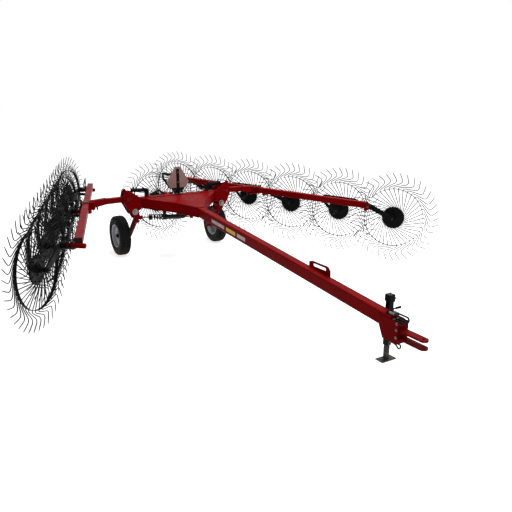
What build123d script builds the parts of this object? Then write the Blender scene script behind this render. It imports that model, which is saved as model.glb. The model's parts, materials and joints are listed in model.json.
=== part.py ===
from build123d import *
import os
from math import atan, atan2, cos, degrees, radians, sin, sqrt

# Trailed V-shaped finger-wheel hay rake, in millimetres.
# X points forward to the hitch, Y to the machine's left, Z up from the ground at Z = 0.
# It is laid out with X = 0 on the main frame's centre line. The last step moves everything
# along X, so that the origin lies on the ground below the middle of the overall box.
# "Left" pieces are modelled once and mirrored in the XZ plane to make the right ones.

# Main cross frame
FRAME_HALF = 800
FRAME_DEEP = 150
FRAME_TALL = 180
FRAME_Z = 965
FRAME_WALL = 8
DRAIN_R = 8
BRACKET_T = 15
BRACKET_INSET = 110
BRACKET_OVERHANG = 185
BRACKET_TOP_Z = 1205
BRACKET_TAB_W = 75
GUSSET_HALF = 690
GUSSET_LONG = 850
GUSSET_KNEE_X = 450
GUSSET_KNEE_HALF = 290
GUSSET_T = 8

# Boom hinges at the ends of the frame
HINGE_OVERHANG = 115
HINGE_Z = 1045
HINGE_PIN_R = 20
PIN_FIT = 0.3
PIN_HEAD_R = 32
PIN_HEAD_T = 10
KNUCKLE_R = 42
SIDE_GAP = 5
SIDE_FIT = 1

# Tongue and hitch
TONGUE_WIDE = 120
TONGUE_TALL = 150
TONGUE_WALL = 8
TONGUE_ROOT_Z = 962
TONGUE_NOSE_X = 5250
TONGUE_NOSE_Z = 525
CHEEK_T = 12
CHEEK_REACH = 130
CHEEK_BACK = 150
CHEEK_LOW_Z = 345
CHEEK_HIGH_Z = 572
CLEVIS_Z = 440
CLEVIS_BLOCK_TALL = 190
CLEVIS_GAP = 64
EAR_T = 20
EAR_R = 48
EAR_LONG = 270
HITCH_PIN_R = 16.5

# Parking jack
JACK_X = 5048
JACK_Y = 132
JACK_TUBE = 60
JACK_WALL = 5
JACK_LOW_Z = 170
JACK_HEAD_Z = 640
JACK_HEAD = 92
JACK_HEAD_TALL = 72
JACK_FIT = 0.4
JACK_LEG_WALL = 4
JACK_LEG_TOP_Z = 420
JACK_FOOT_LONG = 200
JACK_FOOT_WIDE = 110
JACK_FOOT_T = 10
JACK_MOUNT_R = 40
CRANK_R = 8
CRANK_REACH = 95
CRANK_DROP = 70

# Parked hydraulic hose ends on the tongue's nose
HOSE_R = 9
HOSE_Z = 566
HOSE_LEAD = 25
HOSE_BEND_R = 55
HOSE_HALF_GAP = 26
COUPLER_R = 14
COUPLER_LONG = 80
HOLDER_T = 8
HOLDER_BACK = 60

# Transport lock plate on the tongue
LOCK_X = 3970
LOCK_LONG = 400
LOCK_TALL = 95
LOCK_T = 12
LOCK_Y = 44
LOCK_SLOT_LONG = 250
LOCK_SLOT_TALL = 36
LOCK_CORNER = 50
LOCK_FRONT_DROP = 40
LOCK_REAR_DROP = 20

# Slow-vehicle sign
SIGN_WIDE = 406
SIGN_TALL = 356
SIGN_T = 3
SIGN_CUT = 110
SIGN_X = 40
SIGN_RISE = 112
SIGN_POST_WIDE = 50
SIGN_POST_T = 8
SIGN_POST_TOP_GAP = 35
SIGN_FOOT_HALF = 45
SIGN_FOOT_REACH = 26

# Transport wheels, their legs and the spring strut between the legs
TRACK = 1860
AXLE_X = -400
TYRE_R = 345
TYRE_WIDE = 190
TYRE_SHOULDER = 26
RIM_R = 190
RIM_HUB_R = 52
RIM_DISC_T = 8
RIM_DISC_OFFSET = 25
RIM_LIP = 12
RIM_WALL = 6
AXLE_R = 20
AXLE_FIT = 0.4
LEG_BOSS_OVERHANG = 38
LEG_BOSS_Z = 845
LEG_BOSS_R = 55
LEG_FOOT_R = 42
LEG_T = 40
LEG_TYRE_GAP = 60
LEG_SHELF_T = 16
STRUT_X = 48
STRUT_OUT_INSET = 35
STRUT_OUT_Z = 722
STRUT_IN_Y = 225
STRUT_IN_Z = 640
STRUT_BARREL_R = 24
STRUT_BARREL_LONG = 515
STRUT_ROD_R = 9
STRUT_SPRING_R = 34
STRUT_SPRING_LONG = 280
STRUT_EYE_R = 22
STRUT_EYE_T = 22
STRUT_PIN_R = 9
STRUT_NECK = 125
HANGER_T = 12
HANGER_HALF = 30

# Gangs of rake wheels
GANG_ANGLE = 17.8
WHEEL_ANGLE = 39.0
GANG_X = -184
GANG_REACH = 1095
WHEEL_PITCH = 1063
WHEELS_PER_GANG = 6
HUB_Z = 755
BEAM = 100
BEAM_WALL = 6
BEAM_Z = 1000
BEAM_OFFSET = 465
BEAM_FRONT_INSET = 250
BEAM_REAR_REACH = 415.5
BEAM_CAP_T = 6
BOOM = 90
BOOM_WALL = 6
CLAMP_T = 12
CLAMP_LONG = 170
CLAMP_INBOARD = 90
WEB_T = 10
WEB_START = 330
LUG_T = 12
LUG_GAP = 34
LUG_R = 28

# Rake wheel
TIP_R = 750
RING_R = 480
HUB_DISC_R = 180
HUB_DISC_T = 24
TINE_COUNT = 40
TINE_T = 8
TINE_START = 0.22
TINE_OFFSET = 0.185
TINE_CROSSING = 0.64
TINE_HOOK = [(0.68, 0.0), (0.785, 20.0), (1.0, 16.2)]
RING_WIDE = 30
RING_T = 5
HOUSING_R = 46
HOUSING_FRONT = 70
HOUSING_BACK = 36
HOUSING_END_T = 8
SPINDLE_R = 18
SPINDLE_FIT = 0.4
SPINDLE_END_GAP = 2
COLLAR_R = 28
ARM_T = 25
ARM_OFFSET = 108
ARM_EYE_R = 36
ARM_PIVOT_R = 44
ARM_RISE = 195
STUB_R = 33
STUB_END = 30
SLEEVE_R = 46
SLEEVE_LONG = 70
FRONT_ARM = 395
BAR_OFFSET = 335
BAR_T = 16
BAR_HALF = 25
BAR_TOP_Z = 1032
BAR_RISE_LONG = 250
BAR_OVERHANG = 205
BAR_KNEE_Z = 930
SPRING_R = 17
SPRING_BACK = 112

# Kicker wheel behind the frame
KICKER_X = -1000
KICKER_TUBE = 80
KICKER_TUBE_END_X = -620
KICKER_ARM = 360
KICKER_RISE = 185
KICKER_STUB = 300

# Lift cylinders above the booms
LIFT_LUG_INSET = 240
LIFT_LUG_Z = 1165
LIFT_EYE_REACH = 35
LIFT_EYE_RISE = 145
LIFT_BARREL_R = 32
LIFT_ROD_R = 14
LIFT_BARREL_LONG = 240
LIFT_EYE_R = 24
LIFT_EYE_T = 26
LIFT_NECK_R = 11
LIFT_PIN_R = 10
LIFT_OPEN_FIT = 4.4
LIFT_NECK_GAP = 6
LIFT_EYE_SINK = 4
LIFT_BORE_END = 20
LIFT_ROD_TUCK = 0.35


def vec(x, y, z):
    return Vector(x, y, z)


GANG_DIR = vec(cos(radians(GANG_ANGLE)), sin(radians(GANG_ANGLE)), 0)
GANG_IN = vec(sin(radians(GANG_ANGLE)), -cos(radians(GANG_ANGLE)), 0)
WHEEL_DIR = vec(cos(radians(WHEEL_ANGLE)), sin(radians(WHEEL_ANGLE)), 0)
SPIN_AXIS = vec(sin(radians(WHEEL_ANGLE)), -cos(radians(WHEEL_ANGLE)), 0)
UP = vec(0, 0, 1)
SPIN_SKEW = GANG_IN.dot(SPIN_AXIS)
SPIN_DRIFT = GANG_DIR.dot(SPIN_AXIS) / SPIN_SKEW
FRAME_FACE = FRAME_DEEP / 2
BRACKET_INNER_Y = FRAME_HALF - BRACKET_INSET
BRACKET_OUTER_Y = FRAME_HALF + BRACKET_OVERHANG
HINGE_Y = FRAME_HALF + HINGE_OVERHANG
GANG_Y = HINGE_Y + GANG_REACH
LEG_BOSS_Y = FRAME_HALF + LEG_BOSS_OVERHANG
LEG_Y = TRACK / 2 - TYRE_WIDE / 2 - LEG_TYRE_GAP - LEG_T
STRUT_OUT_Y = LEG_Y - STRUT_OUT_INSET
LIFT_LUG_Y = FRAME_HALF - LIFT_LUG_INSET
LIFT_EYE_Y = HINGE_Y + LIFT_EYE_REACH
LIFT_EYE_Z = HINGE_Z + LIFT_EYE_RISE
SIGN_LOW_Z = FRAME_Z + FRAME_TALL / 2 + SIGN_RISE
GANG_MID = vec(GANG_X, GANG_Y, 0)
BEAM_FRONT = WHEEL_PITCH * (WHEELS_PER_GANG - 1) / 2 - BEAM_FRONT_INSET
BEAM_REAR = -WHEEL_PITCH * (WHEELS_PER_GANG - 3) / 2 - BEAM_REAR_REACH
TONGUE_SLOPE = (TONGUE_ROOT_Z - TONGUE_NOSE_Z) / (TONGUE_NOSE_X - FRAME_FACE)
TONGUE_HALF = TONGUE_TALL / 2
BRACKET_FACE = FRAME_FACE + BRACKET_T


def block(x0, x1, y0, y1, z0, z1):
    """A box between two corners."""
    return Pos((x0 + x1) / 2, (y0 + y1) / 2, (z0 + z1) / 2) * Box(x1 - x0, y1 - y0, z1 - z0)


def rod(start, end, radius):
    """A round bar from one point to another."""
    run = end - start
    return extrude(Plane(origin=start, z_dir=run) * Circle(radius), amount=run.length)


def ring_tube(start, end, outer, inner):
    """A round tube from one point to another."""
    run = end - start
    return extrude(Plane(origin=start, z_dir=run) * (Circle(outer) - Circle(inner)), amount=run.length)


def tube_section(wide, tall, wall):
    """Section of a rolled box tube, its outer corners rounded to twice the wall and its inner ones to the wall."""
    inner = RectangleRounded(wide - 2 * wall, tall - 2 * wall, wall)
    return RectangleRounded(wide, tall, 2 * wall) - inner


def box_tube(start, end, wide, tall, wall):
    """A rolled box tube with open ends; wide is level, tall is the other way."""
    run = end - start
    level = UP.cross(run)
    section = tube_section(wide, tall, wall)
    return extrude(Plane(origin=start, x_dir=level, z_dir=run) * section, amount=run.length)


def end_cap(point, way, wide, tall, wall, thick):
    """A plate that closes a box tube, from a point on its axis outward along way."""
    plane = Plane(origin=point, x_dir=UP.cross(way), z_dir=way)
    return extrude(plane * RectangleRounded(wide, tall, 2 * wall), amount=thick)


def square_tube(x, y, z0, z1, size, wall):
    """An upright square tube."""
    return extrude(Pos(x, y, z0) * tube_section(size, size, wall), amount=z1 - z0)


def prism(points, plane, thick):
    """A flat outline on a plane, thickened to both sides."""
    return extrude(plane * Polygon(*points, align=None), amount=thick / 2, both=True)


def link(plane, start, end, start_r, end_r, thick):
    """A flat link with two round ends, in a plane, thickened along its normal from the plane."""
    ends = [Pos(*start) * Circle(start_r), Pos(*end) * Circle(end_r)]
    outline = make_hull([edge for disc in ends for edge in disc.edges()])
    return extrude(plane * outline, amount=thick)


def mirrored(shape):
    """The right-hand twin of a left-hand shape."""
    return mirror(shape, about=Plane.XZ)


def gang_point(along, inboard, z):
    """A point by its distance along the left gang, its distance inboard of the hub line and height."""
    return GANG_MID + GANG_DIR * along + GANG_IN * inboard + UP * z


def wheel_station(number):
    """Distance along the gang of one wheel's hub, numbered from the rear."""
    return (number - (WHEELS_PER_GANG + 1) / 2) * WHEEL_PITCH


def hub_plane(hub):
    """A wheel's own frame: X in its plane and forward, Y up, Z along its axis to the spindle side."""
    return Plane(origin=hub, x_dir=WHEEL_DIR, z_dir=SPIN_AXIS)


# ---------------------------------------------------------------- main frame

def tongue_z(x):
    """Height of the tongue's centre line."""
    return TONGUE_ROOT_Z - (x - FRAME_FACE) * TONGUE_SLOPE


def end_bracket():
    """The two plates at the left end of the frame that hold the boom hinge and the wheel leg."""
    outline = [
        (BRACKET_INNER_Y, FRAME_Z - FRAME_TALL / 2),
        (LEG_BOSS_Y - LEG_BOSS_R, LEG_BOSS_Z - LEG_BOSS_R / 2),
        (LEG_BOSS_Y + LEG_BOSS_R, LEG_BOSS_Z - LEG_BOSS_R / 2),
        (BRACKET_OUTER_Y, FRAME_Z + 20),
        (BRACKET_OUTER_Y, HINGE_Z + KNUCKLE_R),
        (BRACKET_OUTER_Y - BRACKET_TAB_W / 3, BRACKET_TOP_Z - 20),
        (BRACKET_OUTER_Y - BRACKET_TAB_W, BRACKET_TOP_Z),
        (BRACKET_INNER_Y, FRAME_Z + FRAME_TALL / 2),
    ]
    plates = Part()
    for side in (-1, 1):
        middle = side * (FRAME_FACE + BRACKET_T / 2)
        plane = Plane(origin=(middle, 0, 0), x_dir=(0, 1, 0), z_dir=(1, 0, 0))
        plates += prism(outline, plane, BRACKET_T)
    hole = rod(vec(-BRACKET_FACE - 1, HINGE_Y, HINGE_Z), vec(BRACKET_FACE + 1, HINGE_Y, HINGE_Z),
               HINGE_PIN_R + PIN_FIT)
    return plates - hole


def lift_lug(y, z, foot_z):
    """Two ears for one eye of a lift cylinder, standing on a level face."""
    ears = Part()
    for side in (-1, 1):
        middle = side * (LUG_GAP + LUG_T) / 2
        plane = Plane(origin=(middle - LUG_T / 2, 0, 0), x_dir=(0, 1, 0), z_dir=(1, 0, 0))
        foot = block(middle - LUG_T / 2, middle + LUG_T / 2, y - LUG_R, y + LUG_R, foot_z, z)
        ears += link(plane, (y, z), (y, z - 1), LUG_R, LUG_R, LUG_T) + foot
    pin = rod(vec(-LUG_GAP, y, z), vec(LUG_GAP, y, z), LIFT_PIN_R)
    return ears + pin


def end_brackets():
    return end_bracket() + mirrored(end_bracket())


def main_frame():
    tube = box_tube(vec(0, -FRAME_HALF, FRAME_Z), vec(0, FRAME_HALF, FRAME_Z),
                    FRAME_DEEP, FRAME_TALL, FRAME_WALL)
    frame = tube
    for flip in (False, True):
        cap = end_cap(vec(0, FRAME_HALF, FRAME_Z), vec(0, -1, 0), FRAME_DEEP, FRAME_TALL, FRAME_WALL, FRAME_WALL)
        end = cap + lift_lug(LIFT_LUG_Y, LIFT_LUG_Z, FRAME_Z + FRAME_TALL / 2)
        frame += mirrored(end) if flip else end
    slope = vec(1, 0, -TONGUE_SLOPE)
    half = [(-FRAME_WALL, GUSSET_HALF), (GUSSET_KNEE_X, GUSSET_KNEE_HALF), (GUSSET_LONG, TONGUE_WIDE / 2)]
    outline = half + [(along, -across) for along, across in half[::-1]]
    for side in (-1, 1):
        middle = TONGUE_ROOT_Z + side * (TONGUE_HALF + GUSSET_T / 2 / cos(atan(TONGUE_SLOPE)))
        plane = Plane(origin=(FRAME_FACE, 0, middle), x_dir=slope, z_dir=slope.cross(vec(0, 1, 0)))
        frame += prism(outline, plane, GUSSET_T)
    frame += gusset_webs(outline, slope)
    drain = rod(vec(0, 0, FRAME_Z - FRAME_TALL), vec(0, 0, FRAME_Z), DRAIN_R)
    return frame + strut_hangers() - drain


def gusset_webs(outline, slope):
    """The upright webs that close the two sides of the box between the gusset plates."""
    plane = Plane(origin=(FRAME_FACE, 0, TONGUE_ROOT_Z), x_dir=slope, z_dir=slope.cross(vec(0, 1, 0)))
    face = plane * Polygon(*outline, align=None)
    walls = extrude(face, amount=TONGUE_HALF, both=True)
    walls -= extrude(offset(face, amount=-GUSSET_T), amount=TONGUE_TALL, both=True)
    tongue_room = block(0, FRAME_FACE + GUSSET_LONG * 2, -TONGUE_WIDE / 2, TONGUE_WIDE / 2, 0, 2 * TONGUE_ROOT_Z)
    return walls - tongue_room


def hinge_pins():
    """The two boom hinge pins, each with a head at the front and at the rear."""
    pins = Part()
    for side in (-1, 1):
        rear = vec(-BRACKET_FACE, side * HINGE_Y, HINGE_Z)
        front = vec(BRACKET_FACE, side * HINGE_Y, HINGE_Z)
        pin = rod(rear, front, HINGE_PIN_R)
        pin += rod(front, front + vec(PIN_HEAD_T, 0, 0), PIN_HEAD_R)
        pin += rod(rear, rear - vec(PIN_HEAD_T, 0, 0), PIN_HEAD_R)
        pins += pin
    return pins


# ---------------------------------------------------------------- tongue and hitch

def tongue():
    """The long box tube from the cross frame's face down to the nose, cut upright at both ends."""
    back = FRAME_FACE - TONGUE_WIDE
    front = TONGUE_NOSE_X + TONGUE_WIDE
    tall = TONGUE_TALL * cos(atan(TONGUE_SLOPE))
    tube = box_tube(vec(back, 0, tongue_z(back)), vec(front, 0, tongue_z(front)), TONGUE_WIDE, tall, TONGUE_WALL)
    return tube & block(FRAME_FACE, TONGUE_NOSE_X, -TONGUE_WIDE, TONGUE_WIDE, 0, 2 * TONGUE_ROOT_Z)


def hitch_head():
    """Two cheeks on the tongue's nose and the plate that closes it."""
    side = TONGUE_WIDE / 2
    nose = TONGUE_NOSE_X
    outline = [(nose - CHEEK_BACK, tongue_z(nose - CHEEK_BACK) - TONGUE_HALF + 40),
               (nose - CHEEK_BACK / 2, CHEEK_LOW_Z), (nose + CHEEK_REACH, CHEEK_LOW_Z),
               (nose + CHEEK_REACH, CHEEK_HIGH_Z), (nose - CHEEK_BACK, CHEEK_HIGH_Z)]
    head = block(nose, nose + CHEEK_T, -side, side, CHEEK_LOW_Z, tongue_z(nose) + TONGUE_HALF)
    for hand in (-1, 1):
        plane = Plane(origin=(0, hand * (side + CHEEK_T / 2), 0), x_dir=(1, 0, 0), z_dir=(0, -1, 0))
        head += prism(outline, plane, CHEEK_T)
    return head


def clevis_pin_x():
    return TONGUE_NOSE_X + CHEEK_REACH + EAR_LONG


def hitch_clevis():
    """The height-adjustable clevis between the cheeks."""
    side = TONGUE_WIDE / 2
    back = TONGUE_NOSE_X + CHEEK_T
    front = TONGUE_NOSE_X + CHEEK_REACH
    pin_x = clevis_pin_x()
    clevis = block(back, front, -side, side, CLEVIS_Z - CLEVIS_BLOCK_TALL / 2,
                   CLEVIS_Z + CLEVIS_BLOCK_TALL / 2)
    for hand in (-1, 1):
        low = CLEVIS_Z + hand * (CLEVIS_GAP + EAR_T) / 2 - EAR_T / 2
        plane = Plane(origin=(0, 0, low))
        clevis += link(plane, (pin_x, 0), (front - EAR_R, 0), EAR_R, EAR_R, EAR_T)
    bore = rod(vec(pin_x, 0, CLEVIS_Z - CLEVIS_GAP), vec(pin_x, 0, CLEVIS_Z + CLEVIS_GAP), HITCH_PIN_R)
    return clevis - bore


def hose_points(side):
    """Where one parked hose leaves the nose plate, where it turns back, and where its coupler starts."""
    y = side * HOSE_HALF_GAP
    out = vec(TONGUE_NOSE_X + CHEEK_T, y, HOSE_Z)
    return out, out + vec(HOSE_LEAD, 0, 0), out + vec(0, 0, 2 * HOSE_BEND_R)


def hose_ends():
    """The two hose ends, each bent back over the nose to a coupler that sits in the holder."""
    hoses = Part()
    for side in (-1, 1):
        out, turn, back = hose_points(side)
        bend_end = turn + vec(0, 0, 2 * HOSE_BEND_R)
        path = Line(out, turn) + ThreePointArc(turn, turn + vec(HOSE_BEND_R, 0, HOSE_BEND_R), bend_end)
        path += Line(bend_end, back)
        hose = sweep(Plane(origin=out, z_dir=(1, 0, 0)) * Circle(HOSE_R), path=path)
        hoses += hose + rod(back, back - vec(COUPLER_LONG, 0, 0), COUPLER_R)
    return hoses


def coupler_holder():
    """A small plate across the tongue's top with two holes for the couplers."""
    x = TONGUE_NOSE_X - HOLDER_BACK
    back = hose_points(1)[2]
    low = tongue_z(x) + TONGUE_HALF
    plate = block(x, x + HOLDER_T, -HOSE_HALF_GAP * 2, HOSE_HALF_GAP * 2, low, back.Z + COUPLER_R * 2)
    for side in (-1, 1):
        centre = vec(x - 1, side * HOSE_HALF_GAP, back.Z)
        plate -= rod(centre, centre + vec(HOLDER_T + 2, 0, 0), COUPLER_R + PIN_FIT)
    return plate


def lock_plate():
    """The upright slotted plate on the tongue that locks the folded gangs."""
    base = tongue_z(LOCK_X) + TONGUE_HALF
    half = LOCK_LONG / 2
    outline = [(LOCK_X - half, base + half * TONGUE_SLOPE), (LOCK_X + half, base - half * TONGUE_SLOPE),
               (LOCK_X + half, base + LOCK_TALL - LOCK_FRONT_DROP), (LOCK_X + half - LOCK_CORNER, base + LOCK_TALL),
               (LOCK_X - half + LOCK_CORNER, base + LOCK_TALL), (LOCK_X - half, base + LOCK_TALL - LOCK_REAR_DROP)]
    plane = Plane(origin=(0, LOCK_Y, 0), x_dir=(1, 0, 0), z_dir=(0, -1, 0))
    plate = prism(outline, plane, LOCK_T)
    slot = plane * Pos(LOCK_X, base + LOCK_TALL * 0.55) * SlotOverall(LOCK_SLOT_LONG, LOCK_SLOT_TALL)
    return plate - extrude(slot, amount=LOCK_T, both=True)


# ---------------------------------------------------------------- jack

def jack_tube():
    """Outer tube, gear head, side mount and crank of the parking jack."""
    half = JACK_TUBE / 2
    tube = square_tube(JACK_X, JACK_Y, JACK_LOW_Z, JACK_HEAD_Z, JACK_TUBE, JACK_WALL)
    head = block(JACK_X - JACK_HEAD / 2, JACK_X + JACK_HEAD / 2, JACK_Y - JACK_HEAD / 2,
                 JACK_Y + JACK_HEAD / 2, JACK_HEAD_Z, JACK_HEAD_Z + JACK_HEAD_TALL)
    mount_z = tongue_z(JACK_X)
    mount = rod(vec(JACK_X, TONGUE_WIDE / 2, mount_z), vec(JACK_X, JACK_Y - half, mount_z), JACK_MOUNT_R)
    return tube + head + mount


def jack_crank():
    """The cranked handle on the side of the jack's head."""
    face = JACK_Y + JACK_HEAD / 2
    level = JACK_HEAD_Z + JACK_HEAD_TALL / 2
    turn = vec(JACK_X, face, level)
    out = vec(JACK_X, face + 30, level)
    low = vec(JACK_X - CRANK_REACH, face + 30, level - CRANK_DROP)
    return rod(turn, out + vec(0, CRANK_R, 0), CRANK_R) + rod(out, low, CRANK_R) + rod(
        low - vec(0, CRANK_R, 0), low + vec(0, 90, 0), CRANK_R * 1.4)


def jack_leg():
    """The inner leg with its foot plate."""
    size = JACK_TUBE - 2 * (JACK_WALL + JACK_FIT)
    leg = square_tube(JACK_X, JACK_Y, JACK_FOOT_T, JACK_LEG_TOP_Z, size, JACK_LEG_WALL)
    foot = block(JACK_X - JACK_FOOT_WIDE / 2, JACK_X + JACK_FOOT_WIDE / 2, JACK_Y - JACK_FOOT_LONG / 2,
                 JACK_Y + JACK_FOOT_LONG / 2, 0, JACK_FOOT_T)
    return leg + foot


# ---------------------------------------------------------------- sign

def sign_post():
    """The sign's flat post with its foot on the frame's top."""
    top = FRAME_Z + FRAME_TALL / 2
    front = SIGN_X + SIGN_POST_T
    post = block(SIGN_X, front, -SIGN_POST_WIDE / 2, SIGN_POST_WIDE / 2, top,
                 SIGN_LOW_Z + SIGN_TALL - SIGN_POST_TOP_GAP)
    foot = block(SIGN_X - SIGN_FOOT_REACH, front + SIGN_FOOT_REACH, -SIGN_FOOT_HALF, SIGN_FOOT_HALF, top,
                 top + SIGN_POST_T)
    return post + foot


def sign_plate():
    """A blank triangular slow-vehicle sign with its corners cut off, facing rearward."""
    half = SIGN_WIDE / 2
    low = SIGN_LOW_Z
    nip = SIGN_CUT / 2
    lift = SIGN_CUT * sqrt(3) / 2
    outline = [(-half + nip, low), (half - nip, low), (half, low + lift), (nip, low + SIGN_TALL),
               (-nip, low + SIGN_TALL), (-half, low + lift)]
    middle = SIGN_X - SIGN_T / 2
    return prism(outline, Plane(origin=(middle, 0, 0), x_dir=(0, 1, 0), z_dir=(1, 0, 0)), SIGN_T)


# ---------------------------------------------------------------- transport wheels

def leg_plane():
    """The plane of the left leg's inner face, X forward and Y up."""
    return Plane(origin=(0, LEG_Y, 0), x_dir=(1, 0, 0), z_dir=(0, -1, 0))


def left_leg():
    """The left leg: a bracket block under the frame's end plates, a slanted arm and the stub axle."""
    low = LEG_BOSS_Z - LEG_BOSS_R / 2
    frame_low = FRAME_Z - FRAME_TALL / 2
    arm = link(leg_plane(), (FRAME_FACE - LEG_BOSS_R, low - LEG_BOSS_R - LEG_SHELF_T + 1),
               (AXLE_X, TYRE_R), LEG_BOSS_R, LEG_FOOT_R, -LEG_T)
    shelf = block(-BRACKET_FACE, BRACKET_FACE, LEG_Y, LEG_BOSS_Y + LEG_BOSS_R, low - LEG_SHELF_T, low)
    drop = block(FRAME_FACE - 2 * LEG_BOSS_R, FRAME_FACE, LEG_Y, LEG_Y + LEG_T, low - LEG_BOSS_R - 20, low)
    axle_end = TRACK / 2 + RIM_DISC_OFFSET + 30
    axle = rod(vec(AXLE_X, LEG_Y, TYRE_R), vec(AXLE_X, axle_end, TYRE_R), AXLE_R)
    shoulder_end = TRACK / 2 - TYRE_WIDE / 2 + 20
    shoulder = rod(vec(AXLE_X, LEG_Y + LEG_T, TYRE_R), vec(AXLE_X, shoulder_end, TYRE_R), AXLE_R + 12)
    return arm + shelf + drop + axle + shoulder


def leg(side):
    """One leg with the lug for its strut."""
    outer = strut_points(side)[0]
    inner_face = side * LEG_Y
    lug = strut_lug(outer, min(inner_face, outer.Y - side * HANGER_HALF),
                    max(inner_face, outer.Y - side * HANGER_HALF), STRUT_OUT_Z - HANGER_HALF,
                    STRUT_OUT_Z + HANGER_HALF)
    return (left_leg() if side == 1 else mirrored(left_leg())) + lug


def strut_points(side):
    """Outer and inner eye of the strut of one leg: -1 is the right leg's, which lies in front."""
    x = -side * STRUT_X
    return vec(x, side * STRUT_OUT_Y, STRUT_OUT_Z), vec(x, -side * STRUT_IN_Y, STRUT_IN_Z)


def strut(side):
    """Spring strut from one leg to the hanger beyond the middle, its spring a plain cylinder."""
    outer, inner = strut_points(side)
    way = (inner - outer).normalized()
    seat = inner - way * (STRUT_EYE_R + STRUT_BARREL_LONG)
    half = vec(STRUT_EYE_T / 2, 0, 0)
    body = rod(outer + way * (STRUT_EYE_R - 3), seat, STRUT_ROD_R)
    body += rod(seat, inner - way * STRUT_NECK, STRUT_BARREL_R)
    body += rod(inner - way * STRUT_NECK, inner - way * (STRUT_EYE_R - 3), STRUT_ROD_R)
    body += rod(seat - way * STRUT_SPRING_LONG, seat, STRUT_SPRING_R)
    for point in (outer, inner):
        body += ring_tube(point - half, point + half, STRUT_EYE_R, STRUT_PIN_R + PIN_FIT)
        body -= rod(point - half * 2, point + half * 2, STRUT_PIN_R + PIN_FIT)
    return body


def strut_lug(point, y0, y1, z0, z1):
    """A plate behind or in front of a strut's eye, with the pin that the eye turns on."""
    way = 1 if point.X > 0 else -1
    face = point.X + way * STRUT_EYE_T / 2
    plate = block(min(face, face + way * HANGER_T), max(face, face + way * HANGER_T), y0, y1, z0, z1)
    return plate + rod(point - vec(way * STRUT_EYE_T / 2, 0, 0), vec(face, point.Y, point.Z), STRUT_PIN_R)


def strut_hangers():
    """The two plates under the frame that hold the inner ends of the struts."""
    plates = Part()
    for side in (-1, 1):
        inner = strut_points(side)[1]
        plates += strut_lug(inner, inner.Y - HANGER_HALF, inner.Y + HANGER_HALF, inner.Z - HANGER_HALF,
                            FRAME_Z - FRAME_TALL / 2 + FRAME_WALL)
    return plates


def leg_struts():
    return strut(-1) + strut(1)


def tyre():
    """The left tyre, turned about its axle, with an open bead circle that seats on the rim."""
    half = TYRE_WIDE / 2
    bead = half - TYRE_SHOULDER
    widest_r = (RIM_R + TYRE_R) / 2
    outline = [(-bead, RIM_R), (bead, RIM_R), (half, widest_r), (bead, TYRE_R), (-bead, TYRE_R),
               (-half, widest_r)]
    section = Polygon(*outline, align=None)
    solid = revolve(Plane.XY * section, axis=Axis.X)
    return Pos(AXLE_X, TRACK / 2, TYRE_R) * Rot(0, 0, 90) * solid


def rim():
    """The left rim, disc and hub, turned about the axle."""
    half = TYRE_WIDE / 2
    lip = half - TYRE_SHOULDER
    off = RIM_DISC_OFFSET
    barrel = [(-lip - RIM_LIP, RIM_R + RIM_LIP), (-lip - RIM_LIP, RIM_R - RIM_WALL),
              (lip + RIM_LIP, RIM_R - RIM_WALL), (lip + RIM_LIP, RIM_R + RIM_LIP), (lip, RIM_R), (-lip, RIM_R)]
    disc = [(off, AXLE_R + AXLE_FIT), (off + RIM_DISC_T, AXLE_R + AXLE_FIT),
            (off + RIM_DISC_T, RIM_R - RIM_WALL), (off, RIM_R - RIM_WALL)]
    hub = [(-half + 25, AXLE_R + AXLE_FIT), (off + 45, AXLE_R + AXLE_FIT), (off + 45, RIM_HUB_R),
           (-half + 25, RIM_HUB_R)]
    solid = Part()
    for outline in (barrel, disc, hub):
        solid += revolve(Plane.XY * Polygon(*outline, align=None), axis=Axis.X)
    return Pos(AXLE_X, TRACK / 2, TYRE_R) * Rot(0, 0, 90) * solid


# ---------------------------------------------------------------- rake wheels and arms

def tine_line():
    """Centre line of one tine, from inside the hub disc to its tip; it crosses the hoop on the X axis."""
    crossing = sqrt(TINE_CROSSING ** 2 - TINE_OFFSET ** 2)
    start = sqrt(TINE_START ** 2 - TINE_OFFSET ** 2)
    lean = degrees(atan2(crossing, TINE_OFFSET) - atan2(start, TINE_OFFSET))
    points = []
    for share, trail in [(TINE_START, lean)] + TINE_HOOK:
        reach = share * (TIP_R - TINE_T / 2)
        points.append(vec(reach * cos(radians(trail)), -reach * sin(radians(trail)), 0))
    return points


def tine():
    """One tine as a flat ribbon as thick as it is wide, with mitred bends."""
    points = tine_line()
    runs = [(after - before).normalized() for before, after in zip(points, points[1:])]
    left = []
    right = []
    for index, point in enumerate(points):
        before = runs[max(index - 1, 0)]
        after = runs[min(index, len(runs) - 1)]
        across = UP.cross(before + after).normalized()
        half = across * (TINE_T / 2 / across.dot(UP.cross(after)))
        left.append(point + half)
        right.append(point - half)
    outline = [(corner.X, corner.Y) for corner in left + right[::-1]]
    return extrude(Polygon(*outline, align=None), amount=TINE_T / 2, both=True)


def rake_wheel():
    """One left-hand rake wheel about its own Z axis, spindle side at +Z: hub, discs, hoop and tines."""
    disc = Cylinder(HUB_DISC_R, HUB_DISC_T)
    housing = Pos(0, 0, (HOUSING_FRONT - HOUSING_BACK) / 2) * Cylinder(HOUSING_R, HOUSING_FRONT + HOUSING_BACK)
    hoop = Cylinder(RING_R, RING_WIDE) - Cylinder(RING_R - RING_T, RING_WIDE)
    one = tine()
    tines = [Rot(0, 0, 360 * place / TINE_COUNT) * one for place in range(TINE_COUNT)]
    bore_deep = HOUSING_FRONT + HOUSING_BACK - HOUSING_END_T
    bore = Pos(0, 0, HOUSING_FRONT - bore_deep / 2) * Cylinder(SPINDLE_R + SPINDLE_FIT, bore_deep)
    return disc + housing + hoop + tines - bore


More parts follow.
